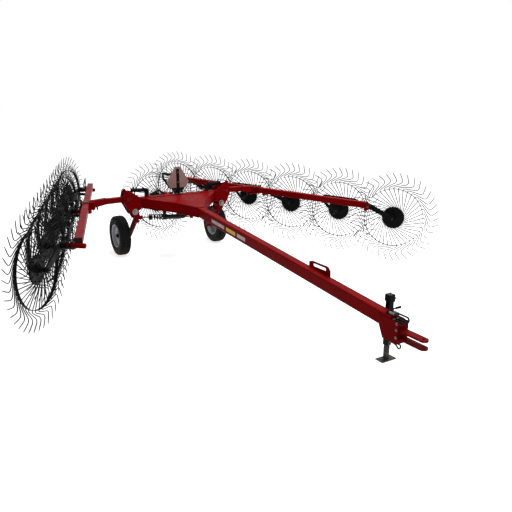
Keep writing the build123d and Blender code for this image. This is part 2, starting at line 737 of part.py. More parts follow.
def spindle(plane, reach):
    """Spindle and its collar, from near the end of the hub's bore out to the arm at the given reach."""
    inner = HOUSING_BACK - HOUSING_END_T - SPINDLE_END_GAP
    shaft = extrude(plane.offset(-inner) * Circle(SPINDLE_R), amount=inner + reach)
    collar = extrude(plane.offset(HOUSING_FRONT + SIDE_FIT) * Circle(COLLAR_R),
                     amount=reach - HOUSING_FRONT - SIDE_FIT)
    return shaft + collar


def arm_pivot(number):
    """Where a front arm's pivot axis meets the arm's wheel-side face."""
    hub = gang_point(wheel_station(number), 0, HUB_Z)
    return hub + SPIN_AXIS * ARM_OFFSET - WHEEL_DIR * FRONT_ARM + UP * ARM_RISE


def stub_bar(number):
    """The bar that carries one pair of arms, from the front arm's inner face across the beam."""
    pivot = arm_pivot(number) + SPIN_AXIS * ARM_T
    inboard = (pivot - GANG_MID).dot(GANG_IN)
    reach = (BEAM_OFFSET + BEAM / 2 + STUB_END - inboard) / SPIN_SKEW
    return rod(pivot, pivot + SPIN_AXIS * reach, STUB_R)


def front_arm(number):
    """The straight arm of a pair's front wheel, with its spindle."""
    plane = hub_plane(gang_point(wheel_station(number), 0, HUB_Z))
    arm = link(plane.offset(ARM_OFFSET), (-FRONT_ARM, ARM_RISE), (0, 0), ARM_PIVOT_R, ARM_EYE_R, ARM_T)
    face = arm_pivot(number) + SPIN_AXIS * ARM_T
    sleeve = ring_tube(face, face + SPIN_AXIS * SLEEVE_LONG, SLEEVE_R, STUB_R)
    return arm + spindle(plane, ARM_OFFSET) + sleeve


def bar_pivot_along(number):
    """Distance along the gang at which a stub's axis crosses the rear arm's bar."""
    pivot = arm_pivot(number) - GANG_MID
    return pivot.dot(GANG_DIR) + (BAR_OFFSET - pivot.dot(GANG_IN)) * SPIN_DRIFT


def rear_arm(number):
    """The cranked bar of a pair's rear wheel, which swings on the same stub as the front arm."""
    pivot = arm_pivot(number + 1)
    pivot_s = bar_pivot_along(number + 1)
    hub_s = wheel_station(number) + BAR_OFFSET * SPIN_DRIFT
    path = [(pivot_s, pivot.Z), (pivot_s - BAR_RISE_LONG, BAR_TOP_Z), (hub_s - BAR_OVERHANG, BAR_TOP_Z),
            (hub_s - BAR_OVERHANG, BAR_KNEE_Z), (hub_s, HUB_Z)]
    plane = Plane(origin=gang_point(0, BAR_OFFSET, 0), x_dir=GANG_DIR, z_dir=GANG_IN)
    bar = Part()
    for start, end in zip(path, path[1:]):
        bar += link(plane, start, end, BAR_HALF, BAR_HALF, BAR_T)
    bar += link(plane, path[0], (pivot_s - 1, pivot.Z), ARM_PIVOT_R, ARM_PIVOT_R, BAR_T)
    bar -= rod(pivot, pivot + SPIN_AXIS * BEAM_OFFSET, STUB_R)
    wheel = hub_plane(gang_point(wheel_station(number), 0, HUB_Z))
    return bar + spindle(wheel, (BAR_OFFSET + BAR_T / 2) / SPIN_SKEW)


def wheel_arms():
    """All six arms of the left gang; wheels 6, 4 and 2 have front arms, 5, 3 and 1 rear arms."""
    arms = Part()
    for number in range(2, WHEELS_PER_GANG + 1, 2):
        arms += front_arm(number)
        arms += rear_arm(number - 1)
    return arms


def gang_beam():
    """The left beam with end caps and a stub for each even wheel's arm."""
    start = gang_point(BEAM_REAR, BEAM_OFFSET, BEAM_Z)
    end = gang_point(BEAM_FRONT, BEAM_OFFSET, BEAM_Z)
    beam = box_tube(start, end, BEAM, BEAM, BEAM_WALL)
    for point, way in ((start, -GANG_DIR), (end, GANG_DIR)):
        beam += end_cap(point, way, BEAM, BEAM, BEAM_WALL, BEAM_CAP_T)
    for number in range(2, WHEELS_PER_GANG + 1, 2):
        beam += stub_bar(number)
    drain = gang_point(0, BEAM_OFFSET, 0)
    return beam - rod(drain + UP * (BEAM_Z - BEAM), drain + UP * BEAM_Z, DRAIN_R)


def arm_springs():
    """A short coil spring, as a plain round bar, from each rear arm's bar to the beam's outboard face."""
    springs = Part()
    for number in range(2, WHEELS_PER_GANG + 1, 2):
        along = bar_pivot_along(number) - SPRING_BACK
        low = arm_pivot(number).Z
        level = low + (BAR_TOP_Z - low) * SPRING_BACK / BAR_RISE_LONG
        springs += rod(gang_point(along, BAR_OFFSET + BAR_T, level),
                       gang_point(along, BEAM_OFFSET - BEAM / 2, level), SPRING_R)
    return springs


# ---------------------------------------------------------------- booms and lift

def boom():
    """The left boom: hinge knuckle with the lift cylinder's lever, tube and the clamp on the beam."""
    knuckle = ring_tube(vec(-FRAME_FACE + SIDE_GAP, HINGE_Y, HINGE_Z),
                        vec(FRAME_FACE - SIDE_GAP, HINGE_Y, HINGE_Z), KNUCKLE_R, HINGE_PIN_R + PIN_FIT)
    tube = box_tube(vec(0, HINGE_Y, HINGE_Z), vec(0, GANG_Y, HINGE_Z - 25), BOOM, BOOM, BOOM_WALL)
    tube -= rod(vec(-BOOM, HINGE_Y, HINGE_Z), vec(BOOM, HINGE_Y, HINGE_Z), KNUCKLE_R - 4)
    tube -= beyond_outboard()
    arm = tube + knuckle
    top = BEAM_Z + BEAM / 2
    mid = gang_point(BEAM_AT_BOOM, BEAM_OFFSET, 0)
    inner = BEAM / 2 + CLAMP_INBOARD
    plane = Plane(origin=mid + UP * top, x_dir=GANG_DIR, z_dir=UP)
    clamp = extrude(plane * Pos(0, -(inner - BEAM / 2) / 2) * Rectangle(CLAMP_LONG, inner + BEAM / 2),
                    amount=CLAMP_T)
    low = Plane(origin=mid + UP * (top - BEAM), x_dir=GANG_DIR, z_dir=-UP)
    clamp_low = extrude(low * Pos(0, (inner - BEAM / 2) / 2) * Rectangle(CLAMP_LONG, inner + BEAM / 2),
                        amount=CLAMP_T)
    webs = Part()
    for side in (-1, 1):
        face = side * (BOOM + WEB_T) / 2
        outline = [(HINGE_Y + WEB_START, HINGE_Z - BOOM / 2), (BEAM_Y_AT_BOOM, BEAM_Z - BEAM / 2 - CLAMP_T),
                   (BEAM_Y_AT_BOOM, top + CLAMP_T), (HINGE_Y + WEB_START, HINGE_Z + BOOM / 2)]
        webs += prism(outline, Plane(origin=(face, 0, 0), x_dir=(0, 1, 0), z_dir=(1, 0, 0)), WEB_T)
    webs -= beyond_outboard()
    return arm + webs + clamp + clamp_low + lift_lever()


def lift_lever():
    """The two ears on the boom's knuckle that the lift cylinder pulls, and the pin between them."""
    ears = Part()
    for side in (-1, 1):
        near = side * (LUG_GAP + LUG_T) / 2 - LUG_T / 2
        plane = Plane(origin=(near, 0, 0), x_dir=(0, 1, 0), z_dir=(1, 0, 0))
        ears += link(plane, (HINGE_Y, HINGE_Z), (LIFT_EYE_Y, LIFT_EYE_Z), KNUCKLE_R, LUG_R, LUG_T)
    pin = rod(vec(-LUG_GAP, LIFT_EYE_Y, LIFT_EYE_Z), vec(LUG_GAP, LIFT_EYE_Y, LIFT_EYE_Z), LIFT_PIN_R)
    bore = rod(vec(-BOOM, HINGE_Y, HINGE_Z), vec(BOOM, HINGE_Y, HINGE_Z), HINGE_PIN_R + PIN_FIT)
    return ears + pin - bore


BEAM_AT_BOOM = (-GANG_X - BEAM_OFFSET * sin(radians(GANG_ANGLE))) / cos(radians(GANG_ANGLE))
BEAM_Y_AT_BOOM = gang_point(BEAM_AT_BOOM, BEAM_OFFSET, 0).Y


def beyond_outboard():
    """Everything outboard of the left beam's inboard face."""
    start = gang_point(BEAM_REAR * 2, BEAM_OFFSET - BEAM * 4.5, BEAM_Z)
    end = gang_point(BEAM_FRONT * 2, BEAM_OFFSET - BEAM * 4.5, BEAM_Z)
    run = end - start
    plane = Plane(origin=start, x_dir=UP.cross(run), z_dir=run)
    return extrude(plane * Rectangle(BEAM * 10, BEAM * 10), amount=run.length)


LIFT_START = vec(0, LIFT_LUG_Y, LIFT_LUG_Z)
LIFT_END = vec(0, LIFT_EYE_Y, LIFT_EYE_Z)
LIFT_RUN = (LIFT_END - LIFT_START).normalized()


def eye(point):
    """The eye of a cylinder, before its bore."""
    half = vec(LIFT_EYE_T / 2, 0, 0)
    return rod(point - half, point + half, LIFT_EYE_R)


def pin_hole(point, fit):
    half = vec(LIFT_EYE_T, 0, 0)
    return rod(point - half, point + half, LIFT_PIN_R + fit)


def lift_barrel():
    start = LIFT_START + LIFT_RUN * (LIFT_EYE_R - LIFT_EYE_SINK)
    neck = LIFT_START + LIFT_RUN * (LUG_R + LIFT_NECK_GAP)
    end = LIFT_START + LIFT_RUN * (LUG_R + LIFT_NECK_GAP + LIFT_BARREL_LONG)
    tube = rod(neck, end, LIFT_BARREL_R) - rod(neck + LIFT_RUN * LIFT_BORE_END, end + LIFT_RUN, LIFT_ROD_R + PIN_FIT)
    return tube + rod(start, neck + LIFT_RUN, LIFT_NECK_R) + eye(LIFT_START) - pin_hole(LIFT_START, PIN_FIT)


def lift_rod():
    start = LIFT_END - LIFT_RUN * (LIFT_EYE_R - LIFT_EYE_SINK)
    back = LIFT_START + LIFT_RUN * (LUG_R + LIFT_NECK_GAP + LIFT_BARREL_LONG * LIFT_ROD_TUCK)
    return rod(back, start, LIFT_ROD_R) + eye(LIFT_END) - pin_hole(LIFT_END, LIFT_OPEN_FIT)


# ---------------------------------------------------------------- kicker

KICKER_HUB = vec(KICKER_X, 0, HUB_Z)


def kicker_arm():
    """The tube behind the frame, its stub, the arm and the spindle of the kicker wheel."""
    tube = box_tube(vec(-FRAME_FACE, 0, FRAME_Z), vec(KICKER_TUBE_END_X, 0, FRAME_Z),
                    KICKER_TUBE, KICKER_TUBE, BOOM_WALL)
    plane = hub_plane(KICKER_HUB)
    arm = link(plane.offset(ARM_OFFSET), (KICKER_ARM, KICKER_RISE), (0, 0), ARM_PIVOT_R, ARM_EYE_R, ARM_T)
    pivot = KICKER_HUB + SPIN_AXIS * (ARM_OFFSET + ARM_T) + WHEEL_DIR * KICKER_ARM + UP * KICKER_RISE
    stub = rod(pivot, pivot + SPIN_AXIS * KICKER_STUB, STUB_R)
    stub -= block(KICKER_X, 0, -KICKER_STUB * 2, KICKER_TUBE / 2 - BOOM_WALL, 0, 2 * FRAME_Z)
    return tube + stub + arm + spindle(plane, ARM_OFFSET)


# ---------------------------------------------------------------- assembly

def build():
    nodes = {
        "main_frame": main_frame(),
        "end_brackets": end_brackets(),
        "hinge_pins": hinge_pins(),
        "tongue": tongue(),
        "hitch_head": hitch_head(),
        "hitch_clevis": hitch_clevis(),
        "lock_plate": lock_plate(),
        "jack_tube": jack_tube(),
        "jack_crank": jack_crank(),
        "jack_leg": jack_leg(),
        "sign_post": sign_post(),
        "sign_plate": sign_plate(),
        "kicker_arm": kicker_arm(),
        "wheel_leg_left": leg(1),
        "wheel_leg_right": leg(-1),
        "leg_struts": leg_struts(),
        "hose_ends": hose_ends(),
        "coupler_holder": coupler_holder(),
    }
    sided = {
        "tyre": tyre(),
        "rim": rim(),
        "boom": boom(),
        "gang_beam": gang_beam(),
        "wheel_arms": wheel_arms(),
        "arm_springs": arm_springs(),
        "lift_barrel": lift_barrel(),
        "lift_rod": lift_rod(),
    }
    for name, shape in sided.items():
        nodes[name + "_left"] = shape
        nodes[name + "_right"] = mirrored(shape)
    wheel = rake_wheel()
    nodes["kicker_wheel"] = hub_plane(KICKER_HUB).location * wheel
    for number in range(1, WHEELS_PER_GANG + 1):
        hub = gang_point(wheel_station(number), 0, HUB_Z)
        left = hub_plane(hub).location * wheel
        nodes[f"rake_wheel_left_{number}"] = left
        nodes[f"rake_wheel_right_{number}"] = mirrored(left)
    return nodes


NODES = build()
BOXES = [shape.bounding_box() for shape in NODES.values()]
REAR_X = min(box.min.X for box in BOXES)
FRONT_X = max(box.max.X for box in BOXES)
SHIFT_X = -(REAR_X + FRONT_X) / 2
os.makedirs("parts", exist_ok=True)
for node_name, node_shape in NODES.items():
    export_step(Pos(SHIFT_X, 0, 0) * node_shape, f"parts/{node_name}.step")
print("shift along X", round(SHIFT_X, 3))
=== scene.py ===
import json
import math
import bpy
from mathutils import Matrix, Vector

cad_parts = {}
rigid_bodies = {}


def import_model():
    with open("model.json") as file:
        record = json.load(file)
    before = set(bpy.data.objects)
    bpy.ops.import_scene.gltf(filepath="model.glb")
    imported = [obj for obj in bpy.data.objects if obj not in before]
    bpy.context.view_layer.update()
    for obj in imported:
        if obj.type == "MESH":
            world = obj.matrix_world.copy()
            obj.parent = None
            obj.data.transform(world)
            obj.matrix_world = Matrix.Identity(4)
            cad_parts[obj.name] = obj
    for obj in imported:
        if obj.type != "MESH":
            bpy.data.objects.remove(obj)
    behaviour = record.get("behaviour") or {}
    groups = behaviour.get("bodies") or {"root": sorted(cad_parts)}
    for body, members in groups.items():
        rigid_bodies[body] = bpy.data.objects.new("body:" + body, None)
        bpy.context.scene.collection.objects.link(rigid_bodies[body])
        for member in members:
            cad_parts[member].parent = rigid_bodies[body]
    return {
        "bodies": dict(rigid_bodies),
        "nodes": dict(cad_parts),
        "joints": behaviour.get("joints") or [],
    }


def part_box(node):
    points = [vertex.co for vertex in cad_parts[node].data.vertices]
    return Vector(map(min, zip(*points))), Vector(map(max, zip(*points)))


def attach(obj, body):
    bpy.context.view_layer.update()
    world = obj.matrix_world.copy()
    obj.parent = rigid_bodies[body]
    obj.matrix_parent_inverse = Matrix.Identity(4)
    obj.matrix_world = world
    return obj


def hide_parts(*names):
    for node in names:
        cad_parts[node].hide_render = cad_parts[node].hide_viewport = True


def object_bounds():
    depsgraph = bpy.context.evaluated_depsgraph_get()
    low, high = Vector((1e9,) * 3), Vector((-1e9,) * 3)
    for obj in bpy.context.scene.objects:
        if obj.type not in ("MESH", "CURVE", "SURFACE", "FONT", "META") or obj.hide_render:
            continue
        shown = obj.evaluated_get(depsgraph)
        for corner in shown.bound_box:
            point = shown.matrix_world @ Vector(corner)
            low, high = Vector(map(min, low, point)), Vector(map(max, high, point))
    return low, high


bl_info = {
    "name": "Finger-Wheel Hay Rake Finish",
    "version": (1, 0, 0),
    "blender": (4, 5, 0),
    "location": "View3D > Sidebar > Hay Rake",
    "description": "Dresses the packed hay rake frame: spring tines, tyres, springs, bolts, paint and a studio stage",
    "category": "Object",
}

import bmesh
import bpy
from bpy.props import FloatProperty, FloatVectorProperty, IntProperty, PointerProperty
from mathutils import Matrix, Vector

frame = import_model()
CAD_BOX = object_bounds()
JOINT_OF = {joint["child"]: joint for joint in frame["joints"]}
SIDES = ("left", "right")
WHEELS_PER_GANG = sum(body.startswith("rake_wheel_left") for body in frame["bodies"])
UP = Vector((0, 0, 1))
FORWARD = Vector((1, 0, 0))

# The middle of the cross frame, which the rest of the machine is laid out from.
FRAME_REAR_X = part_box("main_frame")[0].x
BRACKET_LOW, BRACKET_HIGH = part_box("end_brackets")
MID_X = (BRACKET_LOW.x + BRACKET_HIGH.x) / 2
WHEEL_RADIUS = (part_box("rake_wheel_left_1")[1].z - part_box("rake_wheel_left_1")[0].z) / 2


# ---------------------------------------------------------------- sizes and colours


class RakeSizes(bpy.types.PropertyGroup):
    """Sizes of the pieces that the finish adds."""

    tine_count: IntProperty(name="Tines", description="Spring tines on one wheel", default=40, min=8)
    tine_wire: FloatProperty(name="Tine wire", description="Diameter of the tine wire", default=0.0122, unit="LENGTH")
    tip_inset: FloatProperty(name="Tip inset", description="Tine tips inside the wheel's outer size",
                             default=0.0015, unit="LENGTH")
    ring_radius: FloatProperty(name="Ring radius", description="Outer radius of the flat hoop",
                               default=0.480, unit="LENGTH")
    ring_width: FloatProperty(name="Ring width", description="Width of the flat hoop along the axle",
                              default=0.042, unit="LENGTH")
    hub_radius: FloatProperty(name="Hub disc radius", description="Radius of the clamping discs",
                              default=0.180, unit="LENGTH")
    bolt_size: FloatProperty(name="Bolt size", description="Width of a bolt head across its flats",
                             default=0.024, unit="LENGTH")
    spring_wire: FloatProperty(name="Spring wire", description="Wire of the leg strut springs",
                               default=0.018, unit="LENGTH")
    spring_radius: FloatProperty(name="Spring radius", description="Outer radius of the leg strut springs",
                                 default=0.052, unit="LENGTH")
    arm_offset: FloatProperty(name="Arm offset", description="Front arm's near face from the wheel's plane",
                              default=0.108, unit="LENGTH")
    arm_thick: FloatProperty(name="Arm thickness", description="Thickness of the front arms",
                             default=0.025, unit="LENGTH")
    arm_long: FloatProperty(name="Arm length", description="Level distance from a hub to its arm's pivot",
                            default=0.395, unit="LENGTH")
    arm_rise: FloatProperty(name="Arm rise", description="Height of an arm's pivot above the hub",
                            default=0.195, unit="LENGTH")
    stub_end: FloatProperty(name="Stub end", description="How far a stub stands out beyond the beam",
                            default=0.030, unit="LENGTH")
    bar_offset: FloatProperty(name="Bar offset", description="Rear arm's bar inboard of the hub line",
                              default=0.335, unit="LENGTH")
    bar_thick: FloatProperty(name="Bar thickness", description="Thickness of the rear arms' bars",
                             default=0.016, unit="LENGTH")
    bar_slope: FloatProperty(name="Bar slope", description="Rise of the bar per metre behind its stub", default=0.328)
    beam_offset: FloatProperty(name="Beam offset", description="Beam's axis inboard of the hub line",
                               default=0.465, unit="LENGTH")
    beam_size: FloatProperty(name="Beam size", description="Width and height of the gang beams",
                             default=0.100, unit="LENGTH")
    beam_height: FloatProperty(name="Beam height", description="Beam's axis above the ground",
                               default=1.000, unit="LENGTH")
    beam_inset: FloatProperty(name="Beam inset", description="Beam's front end behind the front hub",
                              default=0.250, unit="LENGTH")
    spring_back: FloatProperty(name="Spring setback", description="Arm spring behind the stub",
                               default=0.112, unit="LENGTH")
    strut_outer: FloatVectorProperty(name="Strut's outer eye", description="Offset, side and height of the left strut's leg eye",
                                     default=(-0.048, 0.700, 0.722), unit="LENGTH")
    strut_inner: FloatVectorProperty(name="Strut's inner eye", description="Offset, side and height of the left strut's frame eye",
                                     default=(-0.048, -0.225, 0.640), unit="LENGTH")


class RakeColours(bpy.types.PropertyGroup):
    """Paint and metal colours, as linear values."""

    frame_red: FloatVectorProperty(name="Frame red", description="Gloss enamel of the frame, tongue and beams",
                                   default=(0.180, 0.0005, 0.0015), subtype="COLOR")
    chassis_black: FloatVectorProperty(name="Chassis black", description="Satin enamel of arms, hubs and cylinders",
                                       default=(0.0025, 0.0025, 0.003), subtype="COLOR")
    rim_grey: FloatVectorProperty(name="Rim grey", description="Paint of the transport wheels",
                                  default=(0.46, 0.47, 0.49), subtype="COLOR")
    zinc: FloatVectorProperty(name="Zinc", description="Plated bolts, pins and the jack's inner leg",
                              default=(0.24, 0.225, 0.215), subtype="COLOR")
    tyre_black: FloatVectorProperty(name="Tyre black", description="Tyre rubber",
                                    default=(0.006, 0.006, 0.0065), subtype="COLOR")
    sign_orange: FloatVectorProperty(name="Sign orange", description="Centre of the slow-vehicle sign",
                                     default=(0.85, 0.13, 0.02), subtype="COLOR")
    sign_back: FloatVectorProperty(name="Sign back", description="Bare back of the slow-vehicle sign",
                                   default=(0.27, 0.145, 0.135), subtype="COLOR")
    sign_red: FloatVectorProperty(name="Sign red", description="Border of the slow-vehicle sign",
                                  default=(0.40, 0.01, 0.015), subtype="COLOR")


class StageSettings(bpy.types.PropertyGroup):
    """Camera, floor and light."""

    focal: FloatProperty(name="Focal length", description="Lens in millimetres on a 36 mm sensor", default=40.24)
    reach: FloatProperty(name="Camera reach", description="Camera ahead of the cross frame's rear face",
                         default=9.156, unit="LENGTH")
    side: FloatProperty(name="Camera side", description="Camera's distance to the machine's right",
                        default=3.980, unit="LENGTH")
    height: FloatProperty(name="Camera height", description="Camera above the ground", default=2.733, unit="LENGTH")
    heading: FloatProperty(name="Heading", description="Direction the camera looks in, from forward",
                           default=2.5905, subtype="ANGLE")
    tilt: FloatProperty(name="Tilt", description="How far the camera looks down", default=0.2774, subtype="ANGLE")
    roll: FloatProperty(name="Roll", description="Turn about the line of sight", default=0.0032, subtype="ANGLE")
    floor_size: FloatProperty(name="Floor", description="Half width of the floor", default=80.0, unit="LENGTH")
    key_light: FloatProperty(name="Key light", description="Power of the large overhead lamp in watts",
                             default=1050.0)
    fill_light: FloatProperty(name="Fill light", description="Power of the side lamp in watts", default=25.0)


# ---------------------------------------------------------------- materials


class Finish:
    """A material under construction, with short calls for its nodes."""

    def __init__(self, name, colour, rough, metallic=0.0):
        self.material = bpy.data.materials.new(name)
        self.material.use_nodes = True
        self.tree = self.material.node_tree
        self.shader = self.tree.nodes["Principled BSDF"]
        self.colour = tuple(colour) + (1.0,)
        self.shader.inputs["Base Color"].default_value = self.colour
        self.shader.inputs["Roughness"].default_value = rough
        self.shader.inputs["Metallic"].default_value = metallic
        self.coords = self.node("ShaderNodeTexCoord").outputs["Object"]

    def node(self, kind, **settings):
        made = self.tree.nodes.new(kind)
        for key, value in settings.items():
            setattr(made, key, value)
        return made

    def join(self, output, socket):
        self.tree.links.new(output, socket)

    def noise(self, scale, detail=4.0, rough=0.55, stretch=None):
        texture = self.node("ShaderNodeTexNoise")
        texture.inputs["Scale"].default_value = scale
        texture.inputs["Detail"].default_value = detail
        texture.inputs["Roughness"].default_value = rough
        source = self.coords
        if stretch:
            mapping = self.node("ShaderNodeMapping")
            mapping.inputs["Scale"].default_value = stretch
            self.join(self.coords, mapping.inputs["Vector"])
            source = mapping.outputs["Vector"]
        self.join(source, texture.inputs["Vector"])
        return texture.outputs["Fac"]

    def span(self, value, low, high, to_low=0.0, to_high=1.0):
        """Maps one range of a value to another, held at its ends."""
        made = self.node("ShaderNodeMapRange")
        for key, number in (("From Min", low), ("From Max", high), ("To Min", to_low), ("To Max", to_high)):
            made.inputs[key].default_value = number
        self.join(value, made.inputs["Value"])
        return made.outputs["Result"]

    def math(self, kind, first, second):
        made = self.node("ShaderNodeMath", operation=kind)
        for socket, value in zip(made.inputs, (first, second)):
            if isinstance(value, (int, float)):
                socket.default_value = value
            else:
                self.join(value, socket)
        return made.outputs["Value"]

    def blend(self, amount, first, second):
        """Mixes two colours, each a socket or linear values."""
        made = self.node("ShaderNodeMix", data_type="RGBA")
        self.join(amount, made.inputs["Factor"])
        for socket, value in ((made.inputs[6], first), (made.inputs[7], second)):
            if isinstance(value, tuple):
                socket.default_value = value if len(value) == 4 else value + (1.0,)
            else:
                self.join(value, socket)
        return made.outputs[2]

    def edges(self, radius):
        """How much a point lies on an edge, and the rounded normal there."""
        bevel = self.node("ShaderNodeBevel", samples=6)
        bevel.inputs["Radius"].default_value = radius
        geometry = self.node("ShaderNodeNewGeometry")
        dot = self.node("ShaderNodeVectorMath", operation="DOT_PRODUCT")
        self.join(bevel.outputs["Normal"], dot.inputs[0])
        self.join(geometry.outputs["Normal"], dot.inputs[1])
        return self.span(dot.outputs["Value"], 0.99, 0.80), bevel.outputs["Normal"]

    def upward(self):
        """How far a surface faces up."""
        geometry = self.node("ShaderNodeNewGeometry")
        parts = self.node("ShaderNodeSeparateXYZ")
        self.join(geometry.outputs["Normal"], parts.inputs["Vector"])
        return self.span(parts.outputs["Z"], 0.35, 0.98)

    def height(self):
        """Height above the ground at a point, in metres."""
        geometry = self.node("ShaderNodeNewGeometry")
        parts = self.node("ShaderNodeSeparateXYZ")
        self.join(geometry.outputs["Position"], parts.inputs["Vector"])
        return parts.outputs["Z"]

    def bump(self, value, strength, distance, normal=None):
        made = self.node("ShaderNodeBump")
        made.inputs["Strength"].default_value = strength
        made.inputs["Distance"].default_value = distance
        self.join(value, made.inputs["Height"])
        if normal is not None:
            self.join(normal, made.inputs["Normal"])
        self.join(made.outputs["Normal"], self.shader.inputs["Normal"])
        return made.outputs["Normal"]

    def use(self, output, socket):
        self.join(output, self.shader.inputs[socket])


def shade(colour, factor):
    return tuple(min(1.0, channel * factor) for channel in colour[:3])


def enamel(name, colour, rough, edge_colour, dust=0.10, edge=0.0025, coat=0.1, gloss=0.30):
    """Sprayed enamel: slight colour drift, dust on top faces, chips along edges, orange peel."""
    paint = Finish(name, colour, rough)
    drift = paint.span(paint.noise(2.3, 5.0), 0.30, 0.72)
    mottle = paint.span(paint.noise(38.0, 6.0), 0.35, 0.75)
    base = paint.blend(drift, shade(colour, 0.80), shade(colour, 1.14))
    base = paint.blend(paint.math("MULTIPLY", mottle, 0.22), base, shade(colour, 0.62))
    film = paint.math("MULTIPLY", paint.upward(), paint.span(paint.noise(5.5, 6.0), 0.30, 0.74, 0.25, 1.0))
    base = paint.blend(paint.math("MULTIPLY", film, dust), base, (0.50, 0.30, 0.28))
    on_edge, rounded = paint.edges(edge)
    chips = paint.math("MULTIPLY", on_edge, paint.span(paint.noise(60.0, 8.0, 0.7), 0.52, 0.66))
    base = paint.blend(paint.math("MULTIPLY", chips, 0.75), base, edge_colour)
    paint.use(base, "Base Color")
    wear = paint.math("ADD", paint.span(paint.noise(14.0, 6.0), 0.3, 0.8, rough * 0.75, rough * 1.45),
                      paint.math("MULTIPLY", film, 0.16))
    paint.use(wear, "Roughness")
    paint.bump(paint.noise(420.0, 3.0), 0.10, 0.0006, rounded)
    paint.shader.inputs["Specular IOR Level"].default_value = gloss
    paint.shader.inputs["Coat Weight"].default_value = coat
    paint.shader.inputs["Coat Roughness"].default_value = 0.14
    return paint.material


def plated(name, colour, rough, grain=(1.0, 1.0, 1.0), stain=0.35):
    """Zinc-plated or bare steel: blotchy grey, a little brown in places and fine scratches."""
    metal = Finish(name, colour, rough, metallic=0.85)
    blotch = metal.span(metal.noise(9.0, 7.0), 0.32, 0.70)
    base = metal.blend(blotch, shade(colour, 0.62), shade(colour, 1.12))
    rust = metal.math("MULTIPLY", metal.span(metal.noise(23.0, 8.0, 0.7), 0.58, 0.74), stain)
    base = metal.blend(rust, base, (0.16, 0.07, 0.03))
    on_edge, rounded = metal.edges(0.0015)
    base = metal.blend(metal.math("MULTIPLY", on_edge, 0.5), base, shade(colour, 1.5))
    metal.use(base, "Base Color")
    metal.use(metal.span(metal.noise(30.0, 6.0), 0.3, 0.75, rough * 0.7, rough * 1.6), "Roughness")
    metal.bump(metal.noise(260.0, 4.0, 0.6, grain), 0.18, 0.0005, rounded)
    return metal.material


def polished_rod(name):
    """Hard chrome of a cylinder rod, with faint ring scratches and an oil film."""
    chrome = Finish(name, (0.72, 0.73, 0.75), 0.10, metallic=1.0)
    film = chrome.span(chrome.noise(16.0, 5.0), 0.35, 0.75)
    chrome.use(chrome.blend(film, (0.62, 0.63, 0.65), (0.80, 0.81, 0.83)), "Base Color")
    chrome.use(chrome.span(chrome.noise(45.0, 6.0), 0.3, 0.8, 0.06, 0.22), "Roughness")
    chrome.bump(chrome.noise(30.0, 3.0, 0.5, (1.0, 60.0, 1.0)), 0.05, 0.0002)
    return chrome.material


def spring_steel(name, colour):
    """Black-lacquered tine wire, rubbed to dull steel towards the tips."""
    wire = Finish(name, colour, 0.50)
    wire.shader.inputs["Specular IOR Level"].default_value = 0.05
    drift = wire.span(wire.noise(26.0, 6.0), 0.35, 0.75)
    base = wire.blend(drift, shade(colour, 0.7), shade(colour, 1.9))
    reach = wire.node("ShaderNodeVectorMath", operation="LENGTH")
    wire.join(wire.coords, reach.inputs[0])
    worn = wire.math("MULTIPLY", wire.span(reach.outputs["Value"], 0.62, 0.75),
                     wire.span(wire.noise(55.0, 6.0), 0.42, 0.66))
    base = wire.blend(wire.math("MULTIPLY", worn, 0.40), base, (0.035, 0.031, 0.028))
    wire.use(base, "Base Color")
    wire.use(wire.span(wire.noise(40.0, 5.0), 0.3, 0.8, 0.30, 0.58), "Roughness")
    wire.bump(wire.noise(300.0, 4.0), 0.15, 0.0004)
    return wire.material


def rubber(name, colour, rough=0.78, dusty=0.35, scale=1.0):
    """Rubber with a grey bloom and dried dust low down."""
    skin = Finish(name, colour, rough)
    skin.shader.inputs["Specular IOR Level"].default_value = 0.10
    bloom = skin.span(skin.noise(7.0 * scale, 6.0), 0.32, 0.74)
    base = skin.blend(bloom, shade(colour, 0.75), shade(colour, 1.9))
    low = skin.math("MULTIPLY", skin.span(skin.height(), 0.22, 0.0), skin.span(skin.noise(19.0, 7.0), 0.36, 0.70))
    base = skin.blend(skin.math("MULTIPLY", low, dusty), base, (0.19, 0.15, 0.11))
    on_edge, rounded = skin.edges(0.002)
    base = skin.blend(skin.math("MULTIPLY", on_edge, 0.30), base, shade(colour, 3.2))
    skin.use(base, "Base Color")
    skin.use(skin.span(skin.noise(33.0, 5.0), 0.3, 0.8, rough * 0.82, min(1.0, rough * 1.15)), "Roughness")
    skin.bump(skin.noise(190.0, 6.0, 0.65), 0.30, 0.0007, rounded)
    return skin.material


def sheet_film(name, colour, rough=0.35, cells=0.0):
    """Stuck-on film or reflective sheeting: faint cells, scuffs and faded patches."""
    film = Finish(name, colour, rough)
    fade = film.span(film.noise(12.0, 6.0), 0.30, 0.75)
    base = film.blend(fade, shade(colour, 0.82), shade(colour, 1.10))
    scuff = film.span(film.noise(85.0, 8.0, 0.7), 0.60, 0.72)
    base = film.blend(film.math("MULTIPLY", scuff, 0.35), base, shade(colour, 0.55))
    film.use(base, "Base Color")
    film.use(film.span(film.noise(50.0, 5.0), 0.3, 0.8, rough * 0.7, rough * 1.5), "Roughness")
    if cells:
        grid = film.node("ShaderNodeTexVoronoi")
        grid.inputs["Scale"].default_value = cells
        film.join(film.coords, grid.inputs["Vector"])
        film.bump(grid.outputs["Distance"], 0.25, 0.0004)
    else:
        film.bump(film.noise(240.0, 4.0), 0.12, 0.0004)
    return film.material


MATERIALS = {}


